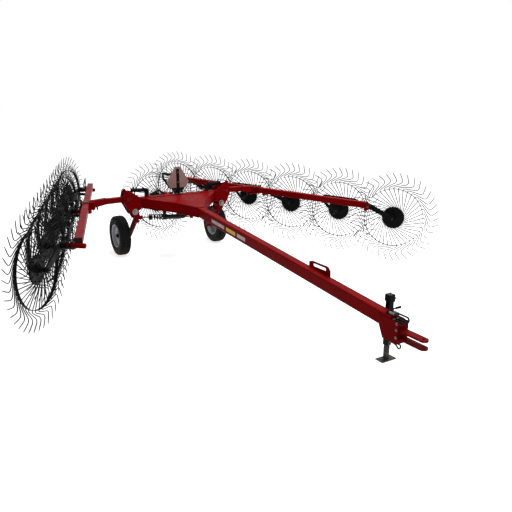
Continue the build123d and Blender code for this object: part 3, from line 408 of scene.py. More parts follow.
def finishes():
    """All finishes by name, made once."""
    if MATERIALS:
        return MATERIALS
    colours = bpy.context.scene.rake_colours
    black = tuple(colours.chassis_black)
    MATERIALS.update(
        red=enamel("gloss_red_enamel", tuple(colours.frame_red), 0.30, (0.05, 0.014, 0.012), dust=0.010, coat=0.0,
                   gloss=0.016),
        black=enamel("satin_black_enamel", black, 0.45, (0.06, 0.055, 0.05), dust=0.006, coat=0.0, gloss=0.05),
        grey=enamel("rim_grey_enamel", tuple(colours.rim_grey), 0.40, (0.16, 0.10, 0.07), dust=0.06, coat=0.05),
        zinc=plated("zinc_plate", tuple(colours.zinc), 0.40),
        galvanised=plated("galvanised_tube", shade(colours.zinc, 0.18), 0.55, stain=0.20),
        chrome=polished_rod("chromed_rod"),
        tine=spring_steel("spring_wire", black),
        tyre=rubber("tyre_rubber", tuple(colours.tyre_black)),
        hose=rubber("hose_rubber", tuple(colours.tyre_black), 0.60, 0.0, 2.0),
        orange=sheet_film("sign_centre_film", tuple(colours.sign_orange), 0.34, 900.0),
        border=sheet_film("sign_border_film", tuple(colours.sign_red), 0.28, 900.0),
        label_pale=sheet_film("pale_label", (0.42, 0.36, 0.36), 0.40),
        label_yellow=sheet_film("yellow_label", (0.62, 0.40, 0.02), 0.40),
        bolt=plated("dull_bolt", shade(colours.zinc, 0.60), 0.50, stain=0.45),
        spring=enamel("sprung_black", black, 0.40, (0.05, 0.045, 0.04), dust=0.02, coat=0.0, gloss=0.16),
        plastic=rubber("black_plastic", black, 0.55, 0.10, 2.0),
        dark_red=enamel("pin_red_enamel", shade(colours.frame_red, 0.8), 0.35, (0.07, 0.02, 0.018), dust=0.04,
                        coat=0.0, gloss=0.12),
        sign_back=sheet_film("sign_back_plate", tuple(colours.sign_back), 0.55),
    )
    return MATERIALS


# ---------------------------------------------------------------- shapes


def add_tube(mesh, points, radius, sides=8, closed_ends=True):
    """Sweeps a round section along points. radius is one number or one per point."""
    points = [Vector(point) for point in points]
    radii = radius if isinstance(radius, (list, tuple)) else [radius] * len(points)
    tangents = []
    for index in range(len(points)):
        before = points[max(index - 1, 0)]
        after = points[min(index + 1, len(points) - 1)]
        tangents.append((after - before).normalized())
    lead = tangents[0].orthogonal().normalized()
    rings = []
    for point, tangent, size in zip(points, tangents, radii):
        lead = (lead - tangent * lead.dot(tangent)).normalized()
        other = tangent.cross(lead)
        rings.append([mesh.verts.new(point + (lead * math.cos(turn) + other * math.sin(turn)) * size)
                      for turn in (math.tau * step / sides for step in range(sides))])
    for first, second in zip(rings, rings[1:]):
        for step in range(sides):
            after = (step + 1) % sides
            mesh.faces.new((first[step], first[after], second[after], second[step]))
    if closed_ends:
        mesh.faces.new(list(reversed(rings[0])))
        mesh.faces.new(rings[-1])


def add_turned(mesh, profile, place, segments=64, closed=True):
    """Turns a profile of (radius, along) about the place's Z axis."""
    rings = []
    for step in range(segments):
        turn = math.tau * step / segments
        direction = Vector((math.cos(turn), math.sin(turn), 0))
        rings.append([mesh.verts.new(place @ (direction * radius + UP * along)) for radius, along in profile])
    count = len(profile)
    for step in range(segments):
        here, after = rings[step], rings[(step + 1) % segments]
        for index in range(count if closed else count - 1):
            other = (index + 1) % count
            mesh.faces.new((here[index], after[index], after[other], here[other]))
    return rings


def add_solid_turned(mesh, profile, place, segments=24):
    """Turns an open profile whose ends lie on the axis, with both ends closed by a flat face."""
    rings = add_turned(mesh, profile, place, segments, closed=False)
    mesh.faces.new([ring[0] for ring in reversed(rings)])
    mesh.faces.new([ring[-1] for ring in rings])


def add_prism(mesh, outline, place, depth):
    """A flat outline in the place's XY plane, from z = 0 to depth."""
    low = [mesh.verts.new(place @ Vector((x, y, 0))) for x, y in outline]
    high = [mesh.verts.new(place @ Vector((x, y, depth))) for x, y in outline]
    mesh.faces.new(list(reversed(low)))
    mesh.faces.new(high)
    for index in range(len(outline)):
        after = (index + 1) % len(outline)
        mesh.faces.new((low[index], low[after], high[after], high[index]))


def add_plate(mesh, corners, rise):
    """A plate from its flat outline and the step to its other face."""
    near = [mesh.verts.new(corner) for corner in corners]
    far = [mesh.verts.new(corner + rise) for corner in corners]
    mesh.faces.new(list(reversed(near)))
    mesh.faces.new(far)
    for index in range(len(corners)):
        after = (index + 1) % len(corners)
        mesh.faces.new((near[index], near[after], far[after], far[index]))


def add_block(mesh, low, high):
    """A box between two corners."""
    (x0, y0, z0), (x1, y1, z1) = low, high
    add_prism(mesh, [(x0, y0), (x1, y0), (x1, y1), (x0, y1)], Matrix.Translation((0, 0, z0)), z1 - z0)


def facing(origin, axis, lead=None):
    """A placement whose Z axis points along axis; lead sets its X direction."""
    axis = Vector(axis).normalized()
    lead = Vector(lead) if lead is not None else axis.orthogonal()
    lead = (lead - axis * lead.dot(axis)).normalized()
    other = axis.cross(lead)
    turned = Matrix((lead, other, axis)).transposed().to_4x4()
    return Matrix.Translation(Vector(origin)) @ turned


def add_bolt(mesh, origin, axis, flats, washer=True, shank=0.0):
    """A hexagon head with a domed top on a washer; shank stands out beyond a nut."""
    place = facing(origin, axis)
    rise = 0.0
    if washer:
        rise = flats * 0.10
        add_solid_turned(mesh, [(flats * 0.95, 0.0), (flats * 0.95, rise)], place, 16)
    corner = flats / math.sqrt(3)
    top = rise + flats * 0.62
    rings = []
    for radius, along in ((corner, rise), (corner, top - flats * 0.08), (corner * 0.86, top)):
        rings.append([mesh.verts.new(place @ Vector((radius * math.cos(turn), radius * math.sin(turn), along)))
                      for turn in (math.tau * step / 6 for step in range(6))])
    for first, second in zip(rings, rings[1:]):
        for step in range(6):
            after = (step + 1) % 6
            mesh.faces.new((first[step], first[after], second[after], second[step]))
    mesh.faces.new(list(reversed(rings[0])))
    mesh.faces.new(rings[-1])
    if shank:
        size = flats * 0.30
        add_solid_turned(mesh, [(size, top), (size, top + shank - size * 0.3), (size * 0.7, top + shank)], place, 12)


def add_weld(mesh, start, end, size=0.005):
    """A rippled fillet weld from one point to another."""
    start, end = Vector(start), Vector(end)
    count = max(6, int((end - start).length / (size * 1.1)))
    points, radii = [], []
    for step in range(count + 1):
        points.append(start.lerp(end, step / count))
        radii.append(size * (0.82 + 0.18 * (step % 2)))
    add_tube(mesh, points, radii, 6)


def add_coil(mesh, start, end, radius, wire, turns, closed_turns=1.2, steps=18):
    """A compression spring between two points, its end turns lying close together."""
    start, end = Vector(start), Vector(end)
    place = facing(start, end - start)
    length = (end - start).length
    total = int(turns * steps)
    points = []
    for step in range(total + 1):
        turn = step / steps
        share = turn / turns
        ends = closed_turns / turns
        if share < ends:
            along = wire * (0.5 + share / ends * closed_turns)
        elif share > 1 - ends:
            along = length - wire * (0.5 + (1 - share) / ends * closed_turns)
        else:
            low = wire * (0.5 + closed_turns)
            along = low + (length - 2 * low) * (share - ends) / (1 - 2 * ends)
        points.append(place @ Vector((radius * math.cos(math.tau * turn), radius * math.sin(math.tau * turn), along)))
    add_tube(mesh, points, wire / 2, 8)


def add_ring_weld(mesh, centre, axis, face, radius, size):
    """A weld around a round bar where it meets a flat face that it may cross at a slant."""
    place = facing(centre, axis)
    axis = Vector(axis).normalized()
    slant = axis.dot(face)
    count = 48
    points = []
    for step in range(count + 1):
        turn = math.tau * step / count
        offset = place.to_3x3() @ Vector((radius * math.cos(turn), radius * math.sin(turn), 0))
        points.append(Vector(centre) + offset - axis * (offset.dot(face) / slant) - Vector(face) * size * 0.1)
    radii = [size * (0.82 + 0.18 * (step % 2)) for step in range(count + 1)]
    add_tube(mesh, points, radii, 6)


def rounded_link(start, end, normal, start_radius, end_radius):
    """Outline of a flat link with round ends, as points around it."""
    way = (end - start).normalized()
    side = Vector(normal).cross(way).normalized()
    corners = []
    for centre, radius, base in ((start, start_radius, math.pi / 2), (end, end_radius, -math.pi / 2)):
        for step in range(13):
            turn = base + math.pi * step / 12
            corners.append(centre + (way * math.cos(turn) + side * math.sin(turn)) * radius)
    return corners


def smooth_route(points, steps):
    """A smooth line through points, with a few steps between each pair."""
    padded = [points[0] * 2 - points[1]] + list(points) + [points[-1] * 2 - points[-2]]
    route = []
    for before, start, end, after in zip(padded, padded[1:], padded[2:], padded[3:]):
        for step in range(steps):
            share = step / steps
            route.append(0.5 * (2 * start + (end - before) * share
                                + (2 * before - 5 * start + 4 * end - after) * share ** 2
                                + (3 * start - before - 3 * end + after) * share ** 3))
    return route + [points[-1]]


def add_square_tube(mesh, centre_x, centre_y, wide, wall, low, high):
    """An upright square tube, open down its middle."""
    rings = []
    for half in (wide / 2, wide / 2 - wall):
        for level in (low, high):
            rings.append([mesh.verts.new((centre_x + x * half, centre_y + y * half, level)) for x, y in
                          ((1, 1), (-1, 1), (-1, -1), (1, -1))])
    outer_low, outer_high, inner_low, inner_high = rings
    for first, second in ((outer_low, outer_high), (inner_low, inner_high), (outer_low, inner_low),
                          (outer_high, inner_high)):
        for step in range(4):
            after = (step + 1) % 4
            mesh.faces.new((first[step], first[after], second[after], second[step]))


def merge(mesh, part):
    """Adds a part's faces to a mesh and frees the part."""
    data = bpy.data.meshes.new("merged_part")
    part.to_mesh(data)
    part.free()
    mesh.from_mesh(data)
    bpy.data.meshes.remove(data)


def bevel_edges(mesh, width):
    """Breaks all sharp edges of a mesh."""
    edges = [edge for edge in mesh.edges if len(edge.link_faces) == 2 and edge.calc_face_angle(0) > 0.6]
    bmesh.ops.bevel(mesh, geom=edges, offset=width, segments=2, affect="EDGES", profile=0.5)


def finish_piece(name, mesh, material, body, smooth=35.0, place=None):
    """Turns the built mesh into a named object that rides on a body."""
    bmesh.ops.recalc_face_normals(mesh, faces=mesh.faces)
    data = bpy.data.meshes.new(name)
    mesh.to_mesh(data)
    mesh.free()
    data.materials.append(material)
    return show(name, data, body, smooth, place)


def show(name, data, body, smooth=35.0, place=None):
    piece = bpy.data.objects.new(name, data)
    bpy.context.scene.collection.objects.link(piece)
    if place is not None:
        piece.matrix_world = place
    if smooth:
        data.shade_smooth()
        data.set_sharp_from_angle(angle=math.radians(smooth))
    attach(piece, body)
    return piece


def coat(node, material):
    """Gives a carried-over CAD node its finish."""
    piece = frame["nodes"][node]
    if not piece.material_slots:
        piece.data.materials.append(material)
    for slot in piece.material_slots:
        slot.material = material


def axle_of(body):
    """Centre and direction of a wheel's axle."""
    joint = JOINT_OF[body]
    return Vector(joint["pos_m"]), Vector(joint["axis"]).normalized()


# ---------------------------------------------------------------- rake wheels

# One tine beyond the hoop: distance from the centre as a share of the tip radius, and the
# angle in degrees from where the tine crosses the hoop, positive the way the hook trails.
HOOK = ((0.66, -0.2), (0.678, 0.3), (0.690, 2.4), (0.704, 6.2), (0.722, 10.4), (0.745, 15.0), (0.771, 19.0),
        (0.802, 21.3), (0.842, 21.7), (0.892, 20.0), (0.945, 18.0), (1.0, 16.2))
SPOKE_OFFSET = 0.185
SPOKE_START = 0.23
HOOP_SHARE = 0.64
WHEEL_PHASE = 2.2


def tine_points(tip_radius):
    """The centre line of one tine that crosses the hoop on the local X axis."""
    offset = SPOKE_OFFSET
    crossing = math.sqrt(HOOP_SHARE ** 2 - offset ** 2)
    inner = math.sqrt(SPOKE_START ** 2 - offset ** 2)
    turn = math.atan2(crossing, offset)
    points = []
    for step in range(4):
        along = inner + (crossing - inner) * step / 3
        reach = math.hypot(offset, along)
        angle = turn - math.atan2(along, offset)
        points.append((reach * tip_radius, -angle))
    points += [(share * tip_radius, -math.radians(angle)) for share, angle in HOOK]
    return [Vector((reach * math.cos(angle), reach * math.sin(angle), 0)) for reach, angle in points]


def build_rake_wheel(sizes):
    """One left-hand wheel about its local Z axis: discs, hoop, tines, hub and bolts."""
    mesh = bmesh.new()
    here = Matrix.Identity(4)
    route = tine_points(WHEEL_RADIUS - sizes.tip_inset - sizes.tine_wire / 2)
    wire = sizes.tine_wire / 2
    radii = [wire] * (len(route) - 1) + [wire * 0.7]
    for step in range(sizes.tine_count):
        turned = Matrix.Rotation(math.tau * step / sizes.tine_count, 4, "Z")
        lift = wire * 0.8 * (1 if step % 2 else -1)
        points = [turned @ (point + UP * lift * max(0.0, 1 - index / 6)) for index, point in enumerate(route)]
        add_tube(mesh, points, radii, 6)
    hoop = sizes.ring_radius
    half = sizes.ring_width / 2
    add_turned(mesh, [(hoop, -half + 0.0012), (hoop, half - 0.0012), (hoop - 0.0012, half), (hoop - 0.0038, half),
                      (hoop - 0.005, half - 0.0012), (hoop - 0.005, -half + 0.0012), (hoop - 0.0038, -half),
                      (hoop - 0.0012, -half)], here, 96)
    disc = sizes.hub_radius
    for way in (-1, 1):
        face = Matrix.Scale(way, 4, UP)
        add_turned(mesh, [(0.044, 0.012), (0.075, 0.012), (0.082, 0.0085), (0.110, 0.0085), (0.118, 0.012),
                          (disc - 0.010, 0.012), (disc - 0.003, 0.0105), (disc, 0.006), (disc, 0.003),
                          (0.044, 0.003)], face, 72)
    for step in range(10):
        turn = math.tau * (step + 0.5) / 10
        spot = Vector((0.146 * math.cos(turn), 0.146 * math.sin(turn), 0.012))
        add_bolt(mesh, spot, UP, 0.016)
        add_bolt(mesh, Vector((spot.x, spot.y, -0.012)), -UP, 0.016, shank=0.006)
    for step in range(5):
        turn = math.tau * step / 5
        spot = Vector((0.062 * math.cos(turn), 0.062 * math.sin(turn), 0.012))
        add_bolt(mesh, spot, UP, 0.019)
        add_bolt(mesh, Vector((spot.x, spot.y, -0.012)), -UP, 0.019)
    add_turned(mesh, [(0.021, 0.069), (0.036, 0.069), (0.040, 0.065), (0.040, 0.026), (0.046, 0.016),
                      (0.046, 0.004), (0.021, 0.004)], here, 40)
    add_solid_turned(mesh, [(0.045, -0.010), (0.045, -0.018), (0.036, -0.022), (0.036, -0.029),
                            (0.030, -0.034), (0.012, -0.0358)], here, 40)
    return mesh


class RAKE_OT_rake_wheels(bpy.types.Operator):
    """Builds the thirteen spring-tined wheels on their spindles"""

    bl_idname = "rake.rake_wheels"
    bl_label = "Rake Wheels"

    def execute(self, context):
        sizes = context.scene.rake_sizes
        looks = finishes()
        mesh = build_rake_wheel(sizes)
        bmesh.ops.recalc_face_normals(mesh, faces=mesh.faces)
        left = bpy.data.meshes.new("rake_wheel_left_hand")
        mesh.to_mesh(left)
        bmesh.ops.transform(mesh, matrix=Matrix.Scale(-1, 4, FORWARD), verts=mesh.verts)
        bmesh.ops.reverse_faces(mesh, faces=mesh.faces)
        right = bpy.data.meshes.new("rake_wheel_right_hand")
        mesh.to_mesh(right)
        mesh.free()
        for data in (left, right):
            data.materials.append(looks["tine"])
        bodies = [f"rake_wheel_{side}_{number}" for side in SIDES for number in range(1, WHEELS_PER_GANG + 1)]
        for index, body in enumerate(bodies + ["kicker_wheel"]):
            centre, axis = axle_of(body)
            place = facing(centre, axis, UP.cross(axis))
            place = place @ Matrix.Rotation(math.radians(WHEEL_PHASE * (index % 3 - 1)), 4, "Z")
            piece = show(f"{body}_tined", right if "right" in body else left, body, place=place)
            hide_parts(body)
        return {"FINISHED"}


# ---------------------------------------------------------------- transport wheels


def tyre_profile(radius, seat, half):
    """The side wall of half of a ribbed implement tyre's section, from bead to shoulder, as (radius, along)."""
    wall = radius - seat
    outside = [(seat, half - 0.030), (seat + 0.010, half - 0.020), (seat + 0.016, half - 0.016),
               (seat + 0.024, half - 0.019), (seat + wall * 0.30, half - 0.006), (seat + wall * 0.45, half),
               (seat + wall * 0.60, half - 0.001), (seat + wall * 0.72, half - 0.006),
               (seat + wall * 0.75, half - 0.003), (seat + wall * 0.86, half - 0.010)]
    return outside


class RAKE_OT_transport_wheels(bpy.types.Operator):
    """Builds the two ribbed tyres and their pressed steel rims"""

    bl_idname = "rake.transport_wheels"
    bl_label = "Transport Wheels"

    def execute(self, context):
        looks = finishes()
        for side in SIDES:
            body = f"transport_wheel_{side}"
            centre, _ = axle_of(body)
            outward = Vector((0, 1 if side == "left" else -1, 0))
            low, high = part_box(f"tyre_{side}")
            radius = (high.z - low.z) / 2
            half = (high.y - low.y) / 2
            place = facing(centre, outward, FORWARD)
            self.tyre(side, body, place, radius, half, looks["tyre"])
            self.rim(side, body, place, half, looks)
        return {"FINISHED"}

    def tyre(self, side, body, place, radius, half, material):
        seat = RIM_SEAT
        outside = tyre_profile(radius, seat, half)
        crown = [(radius - 0.012, half - 0.020, True), (radius - 0.006, half - 0.028, True),
                 (radius - 0.004, half - 0.046, True), (radius - 0.016, half - 0.050, False),
                 (radius - 0.016, half - 0.058, False), (radius - 0.001, half - 0.062, False),
                 (radius - 0.001, half - 0.080, False), (radius - 0.014, half - 0.084, False),
                 (radius - 0.014, half - 0.0885, False)]
        side_points = [(r, z, False) for r, z in outside] + crown
        profile = side_points + [(r, -z, flag) for r, z, flag in reversed(side_points)]
        mesh = bmesh.new()
        rings = []
        blocks = 36
        # Each shoulder block is two full sections and two sections that dip into the slot beside it.
        for block in range(blocks):
            for share, dip in ((0.00, 0.0), (0.62, 0.0), (0.68, 0.010), (0.94, 0.010)):
                turn = math.tau * (block + share) / blocks
                out = Vector((math.cos(turn), math.sin(turn), 0))
                rings.append([mesh.verts.new(place @ (out * (r - (dip if flag else 0.0)) + UP * z))
                              for r, z, flag in profile])
        for index, ring in enumerate(rings):
            after = rings[(index + 1) % len(rings)]
            for step in range(len(profile)):
                other = (step + 1) % len(profile)
                mesh.faces.new((ring[step], after[step], after[other], ring[other]))
        piece = finish_piece(f"ribbed_tyre_{side}", mesh, material, body, 40.0)
        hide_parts(f"tyre_{side}")

    def rim(self, side, body, place, half, looks):
        seat = RIM_SEAT
        low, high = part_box(f"rim_{side}")
        edge = (high.z - low.z) / 2
        wide = half - 0.014
        disc = 0.025
        mesh = bmesh.new()
        barrel = [(edge, -wide), (edge - 0.003, -wide + 0.005), (seat - 0.002, -wide + 0.010),
                  (seat - 0.003, -wide + 0.030),
                  (seat - 0.018, -wide + 0.042), (seat - 0.018, -0.012), (seat - 0.003, 0.010),
                  (seat - 0.002, wide - 0.010), (edge - 0.003, wide - 0.005), (edge, wide), (edge - 0.006, wide + 0.001),
                  (seat - 0.007, wide - 0.006), (seat - 0.009, 0.012), (seat - 0.024, -0.012),
                  (seat - 0.024, -wide + 0.046), (seat - 0.009, -wide + 0.030), (seat - 0.007, -wide + 0.006),
                  (edge - 0.006, -wide - 0.001)]
        add_turned(mesh, barrel, place, 72)
        dish = [(seat - 0.009, disc - 0.016), (seat - 0.016, disc - 0.002), (seat - 0.034, disc + 0.010),
                (seat - 0.060, disc + 0.012), (0.100, disc - 0.002), (0.088, disc - 0.004), (0.054, disc - 0.004),
                (0.054, disc - 0.010), (0.088, disc - 0.010), (0.104, disc - 0.008), (seat - 0.062, disc + 0.006),
                (seat - 0.038, disc + 0.004), (seat - 0.022, disc - 0.006), (seat - 0.015, disc - 0.018)]
        add_turned(mesh, dish, place, 72)
        piece = finish_piece(f"pressed_rim_{side}", mesh, looks["grey"], body, 40.0)
        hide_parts(f"rim_{side}")
        mesh = bmesh.new()
        back = -half + 0.025
        add_turned(mesh, [(0.0205, back), (0.050, back), (0.052, back + 0.004), (0.052, back + 0.030),
                          (0.040, back + 0.036), (0.040, disc - 0.020), (0.074, disc - 0.018), (0.074, disc - 0.010),
                          (0.053, disc - 0.010), (0.053, disc), (0.036, disc + 0.006), (0.034, disc + 0.012),
                          (0.0205, disc + 0.012)], place, 40)
        add_solid_turned(mesh, [(0.033, disc + 0.012), (0.033, disc + 0.036), (0.030, disc + 0.042),
                                (0.018, disc + 0.0448)], place, 32)
        finish_piece(f"wheel_hub_{side}", mesh, looks["black"], body, 40.0)
        mesh = bmesh.new()
        for step in range(6):
            turn = math.tau * step / 6
            spot = place @ Vector((0.070 * math.cos(turn), 0.070 * math.sin(turn), disc - 0.004))
            add_bolt(mesh, spot, place.to_3x3() @ UP, 0.019, washer=False, shank=0.010)
        stem = place @ Vector((seat - 0.046, 0, disc + 0.010))
        tilt = place.to_3x3() @ Vector((0.35, 0, 1))
        add_tube(mesh, [stem, stem + tilt * 0.014, stem + tilt * 0.016, stem + tilt * 0.030],
                 [0.0055, 0.0050, 0.0035, 0.0035], 10)
        finish_piece(f"wheel_nuts_{side}", mesh, looks["zinc"], body, 40.0)


RIM_SEAT = 0.190


# ---------------------------------------------------------------- gangs


class Gang:
    """Directions and stations of one gang, taken from its wheels' axles."""

    def __init__(self, side):
        sizes = bpy.context.scene.rake_sizes
        self.sizes = sizes
        self.side = side
        self.body = f"gang_{side}"
        axles = [axle_of(f"rake_wheel_{side}_{number}") for number in range(1, WHEELS_PER_GANG + 1)]
        self.hubs = [centre for centre, _ in axles]
        self.along = (self.hubs[-1] - self.hubs[0]).normalized()
        self.inboard = UP.cross(self.along)
        if self.inboard.y * self.hubs[0].y > 0:
            self.inboard = -self.inboard
        self.spin = axles[0][1]
        if self.spin.dot(self.inboard) < 0:
            self.spin = -self.spin
        self.lead = UP.cross(self.spin)
        if self.lead.x < 0:
            self.lead = -self.lead
        self.skew = self.spin.dot(self.inboard)

    def pivot(self, number):
        """Where an even wheel's stub meets the wheel's side of its front arm."""
        size = self.sizes
        return (self.hubs[number - 1] + self.spin * size.arm_offset - self.lead * size.arm_long
                + UP * size.arm_rise)

    def across(self, start, inboard):
        """The point on a line along the spin axis that lies a given distance inboard of the hub line."""
        already = (start - self.hubs[0]).dot(self.inboard)
        return start + self.spin * ((inboard - already) / self.skew)

    def beam_point(self, start, along=0.0, inboard=0.0, rise=0.0):
        """A point given from the beam's axis, level with a start point along the gang."""
        station = (start - self.hubs[0]).dot(self.along) + along
        spot = self.hubs[0] + self.along * station + self.inboard * (self.sizes.beam_offset + inboard)
        spot.z = self.sizes.beam_height + rise
        return spot


class RAKE_OT_gang_fittings(bpy.types.Operator):
    """Adds nuts, caps, coil springs, clamp bolts and end plugs to both gangs"""

    bl_idname = "rake.gang_fittings"
    bl_label = "Gang Fittings"

    def execute(self, context):
        looks = finishes()
        for side in SIDES:
            gang = Gang(side)
            self.bolts(gang, looks)
            self.springs(gang, looks)
            self.plugs(gang, looks)
            self.clamp(gang, looks)
        return {"FINISHED"}

    def bolts(self, gang, looks):
        size = gang.sizes
        dark = bmesh.new()
        bright = bmesh.new()
        caps = bmesh.new()
        beam_far = size.beam_offset + size.beam_size / 2
        for number in range(2, WHEELS_PER_GANG + 1, 2):
            hub = gang.hubs[number - 1] + gang.spin * (size.arm_offset + size.arm_thick)
            add_solid_turned(dark, [(0.030, 0.0), (0.030, 0.004), (0.028, 0.006)], facing(hub, gang.spin), 28)
            add_bolt(bright, hub + gang.spin * 0.006, gang.spin, 0.036, washer=False, shank=0.012)
            pivot = gang.pivot(number)
            add_solid_turned(dark, [(0.040, 0.0), (0.040, 0.006), (0.036, 0.008)], facing(pivot, -gang.spin), 32)
            add_bolt(bright, pivot - gang.spin * 0.008, -gang.spin, 0.030)
            end = gang.across(pivot, beam_far + size.stub_end)
            add_solid_turned(caps, [(0.033, -0.002), (0.033, 0.001), (0.030, 0.003)], facing(end, gang.spin), 32)
            bar = gang.across(pivot, size.bar_offset + size.bar_thick)
            collar = [(0.0335, 0.004), (0.046, 0.004), (0.048, 0.006), (0.048, 0.020), (0.046, 0.022), (0.0335, 0.022)]
            add_turned(dark, collar, facing(bar + gang.spin * 0.018, gang.spin), 36)
            add_bolt(bright, bar + gang.spin * 0.031 + UP * 0.047, UP, 0.013, washer=False)
            nipple = pivot + gang.spin * (size.arm_thick + 0.035) + UP * 0.045
            add_solid_turned(bright, [(0.005, 0.0), (0.005, 0.006), (0.003, 0.008), (0.0035, 0.013)],
                             facing(nipple, UP), 10)
            rear = gang.across(gang.hubs[number - 2], size.bar_offset + size.bar_thick)
            add_solid_turned(dark, [(0.030, -0.012), (0.030, 0.008), (0.027, 0.011)], facing(rear, gang.spin), 28)
            add_bolt(bright, rear + gang.spin * 0.011, gang.spin, 0.036, washer=False, shank=0.012)
        finish_piece(f"arm_collars_{gang.side}", dark, looks["black"], gang.body)
        finish_piece(f"stub_caps_{gang.side}", caps, looks["red"], gang.body)
        finish_piece(f"arm_nuts_{gang.side}", bright, looks["spring"], gang.body, 30.0)

    def springs(self, gang, looks):
        size = gang.sizes
        coils = bmesh.new()
        for number in range(2, WHEELS_PER_GANG + 1, 2):
            start = gang.across(gang.pivot(number), size.bar_offset)
            level = start.z + size.spring_back * size.bar_slope - size.beam_height
            near = gang.beam_point(start, -size.spring_back, size.bar_offset + size.bar_thick - size.beam_offset, level)
            far = gang.beam_point(start, -size.spring_back, -size.beam_size / 2, level)
            way = (far - near).normalized()
            add_coil(coils, near, far, 0.0135, 0.0065, 6.0)
            add_tube(coils, [near - way * 0.004, far + way * 0.002], 0.006, 12)
            for spot, push in ((near, way), (far, -way)):
                add_solid_turned(coils, [(0.017, -0.001), (0.017, 0.003), (0.015, 0.0045)], facing(spot, push), 24)
        piece = finish_piece(f"arm_coils_{gang.side}", coils, looks["spring"], gang.body)
        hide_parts(f"arm_springs_{gang.side}")

    def plugs(self, gang, looks):
        size = gang.sizes
        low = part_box(f"gang_beam_{gang.side}")[0]
        plugs = bmesh.new()
        half = size.beam_size / 2
        corner = 0.010
        outline = []
        for quarter, (x, y) in enumerate(((1, 1), (-1, 1), (-1, -1), (1, -1))):
            for step in range(5):
                turn = math.pi / 2 * (quarter + step / 4)
                outline.append((x * (half - 0.004 - corner) + corner * math.cos(turn),
                                y * (half - 0.004 - corner) + corner * math.sin(turn)))
        front = gang.beam_point(gang.hubs[-1], -size.beam_inset + BEAM_CAP)
        rear_reach = (low.x - half * abs(gang.inboard.x) - front.x) / gang.along.x
        rear = gang.beam_point(front, rear_reach + half * abs(gang.inboard.x) * 2 / gang.along.x)
        for spot, way in ((front, gang.along), (rear, -gang.along)):
            place = facing(spot, way, UP.cross(way))
            add_prism(plugs, outline, place, 0.0022)
            inner = [(x * 0.86, y * 0.86) for x, y in outline]
            add_prism(plugs, inner, place @ Matrix.Translation((0, 0, 0.0022)), 0.0016)
        finish_piece(f"beam_plugs_{gang.side}", plugs, looks["plastic"], gang.body)

    def clamp(self, gang, looks):
        size = gang.sizes
        hinge, _ = axle_of(gang.body)
        offset = gang.hubs[0] + gang.inboard * size.beam_offset
        mid = offset + gang.along * ((hinge.x - offset.x) / gang.along.x)
        face = size.beam_size / 2 + CLAMP_PLATE
        bolts = bmesh.new()
        for along in (-0.060, 0.060):
            for inboard in (-0.026, 0.026):
                for way in (1, -1):
                    spot = gang.beam_point(mid, along, inboard, way * face)
                    add_bolt(bolts, spot, UP * way, size.bolt_size, shank=0.0 if way > 0 else 0.012)
        finish_piece(f"clamp_bolts_{gang.side}", bolts, looks["bolt"], gang.body, 30.0)
        tabs = bmesh.new()
        rods = bmesh.new()
        outer = -size.beam_size / 2
        for way in (1, -1):
            corners = [gang.beam_point(mid, along, inboard, way * (face - CLAMP_PLATE))
                       for along, inboard in ((-0.085, outer), (0.085, outer), (0.085, outer - 0.026),
                                              (0.070, outer - 0.040), (-0.070, outer - 0.040), (-0.085, outer - 0.026))]
            add_plate(tabs, corners, UP * way * CLAMP_PLATE)
        for along in (-0.058, 0.058):
            top = gang.beam_point(mid, along, outer - 0.020, face)
            bottom = gang.beam_point(mid, along, outer - 0.020, -face)
            add_tube(rods, [bottom - UP * 0.026, top + UP * 0.026], 0.0075, 16)
            add_bolt(rods, top, UP, 0.024)
            add_bolt(rods, bottom, -UP, 0.024)
        bevel_edges(tabs, 0.0012)
        finish_piece(f"clamp_tabs_{gang.side}", tabs, looks["red"], gang.body)
        finish_piece(f"clamp_rods_{gang.side}", rods, looks["spring"], gang.body, 30.0)
        pegs = bmesh.new()
        for share in (0.735, 0.830):
            spot = hinge.lerp(mid, share)
            spot.x = hinge.x
            spot.z = size.beam_height - 0.008
            add_solid_turned(pegs, [(0.020, 0.0), (0.020, -0.012), (0.014, -0.016), (0.014, -0.060), (0.003, -0.092)],
                             facing(spot, UP), 18)
        finish_piece(f"boom_pegs_{gang.side}", pegs, looks["spring"], gang.body)
        seams = bmesh.new()
        near = -size.beam_size / 2
        for way in (1, -1):
            for along in (-0.085, 0.085):
                add_weld(seams, gang.beam_point(mid, along, near + 0.012, way * (face - CLAMP_PLATE + 0.001)),
                         gang.beam_point(mid, along, -near - 0.012, way * (face - CLAMP_PLATE + 0.001)), 0.005)
        for number in range(2, WHEELS_PER_GANG + 1, 2):
            crossing = gang.across(gang.pivot(number), size.beam_offset - size.beam_size / 2)
            add_ring_weld(seams, crossing, gang.spin, gang.inboard, STUB_RADIUS + 0.001, 0.0045)
        finish_piece(f"gang_welds_{gang.side}", seams, looks["red"], gang.body, 60.0)


STUB_RADIUS = 0.033
BEAM_CAP = 0.006
CLAMP_PLATE = 0.012


# ---------------------------------------------------------------- chassis fittings


def at(x, y, z):
    """A point from the middle of the cross frame, on the ground."""
    return Vector((MID_X + x, y, z))


def tongue_top(x):
    """Height of the tongue's top face at a distance ahead of the cross frame's middle."""
    low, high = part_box("tongue")
    slope = (high.z - TONGUE_TALL - low.z) / (high.x - low.x)
    return high.z - (MID_X + x - low.x) * slope


TONGUE_TALL = 0.150
FRAME_HALF_DEEP = 0.075


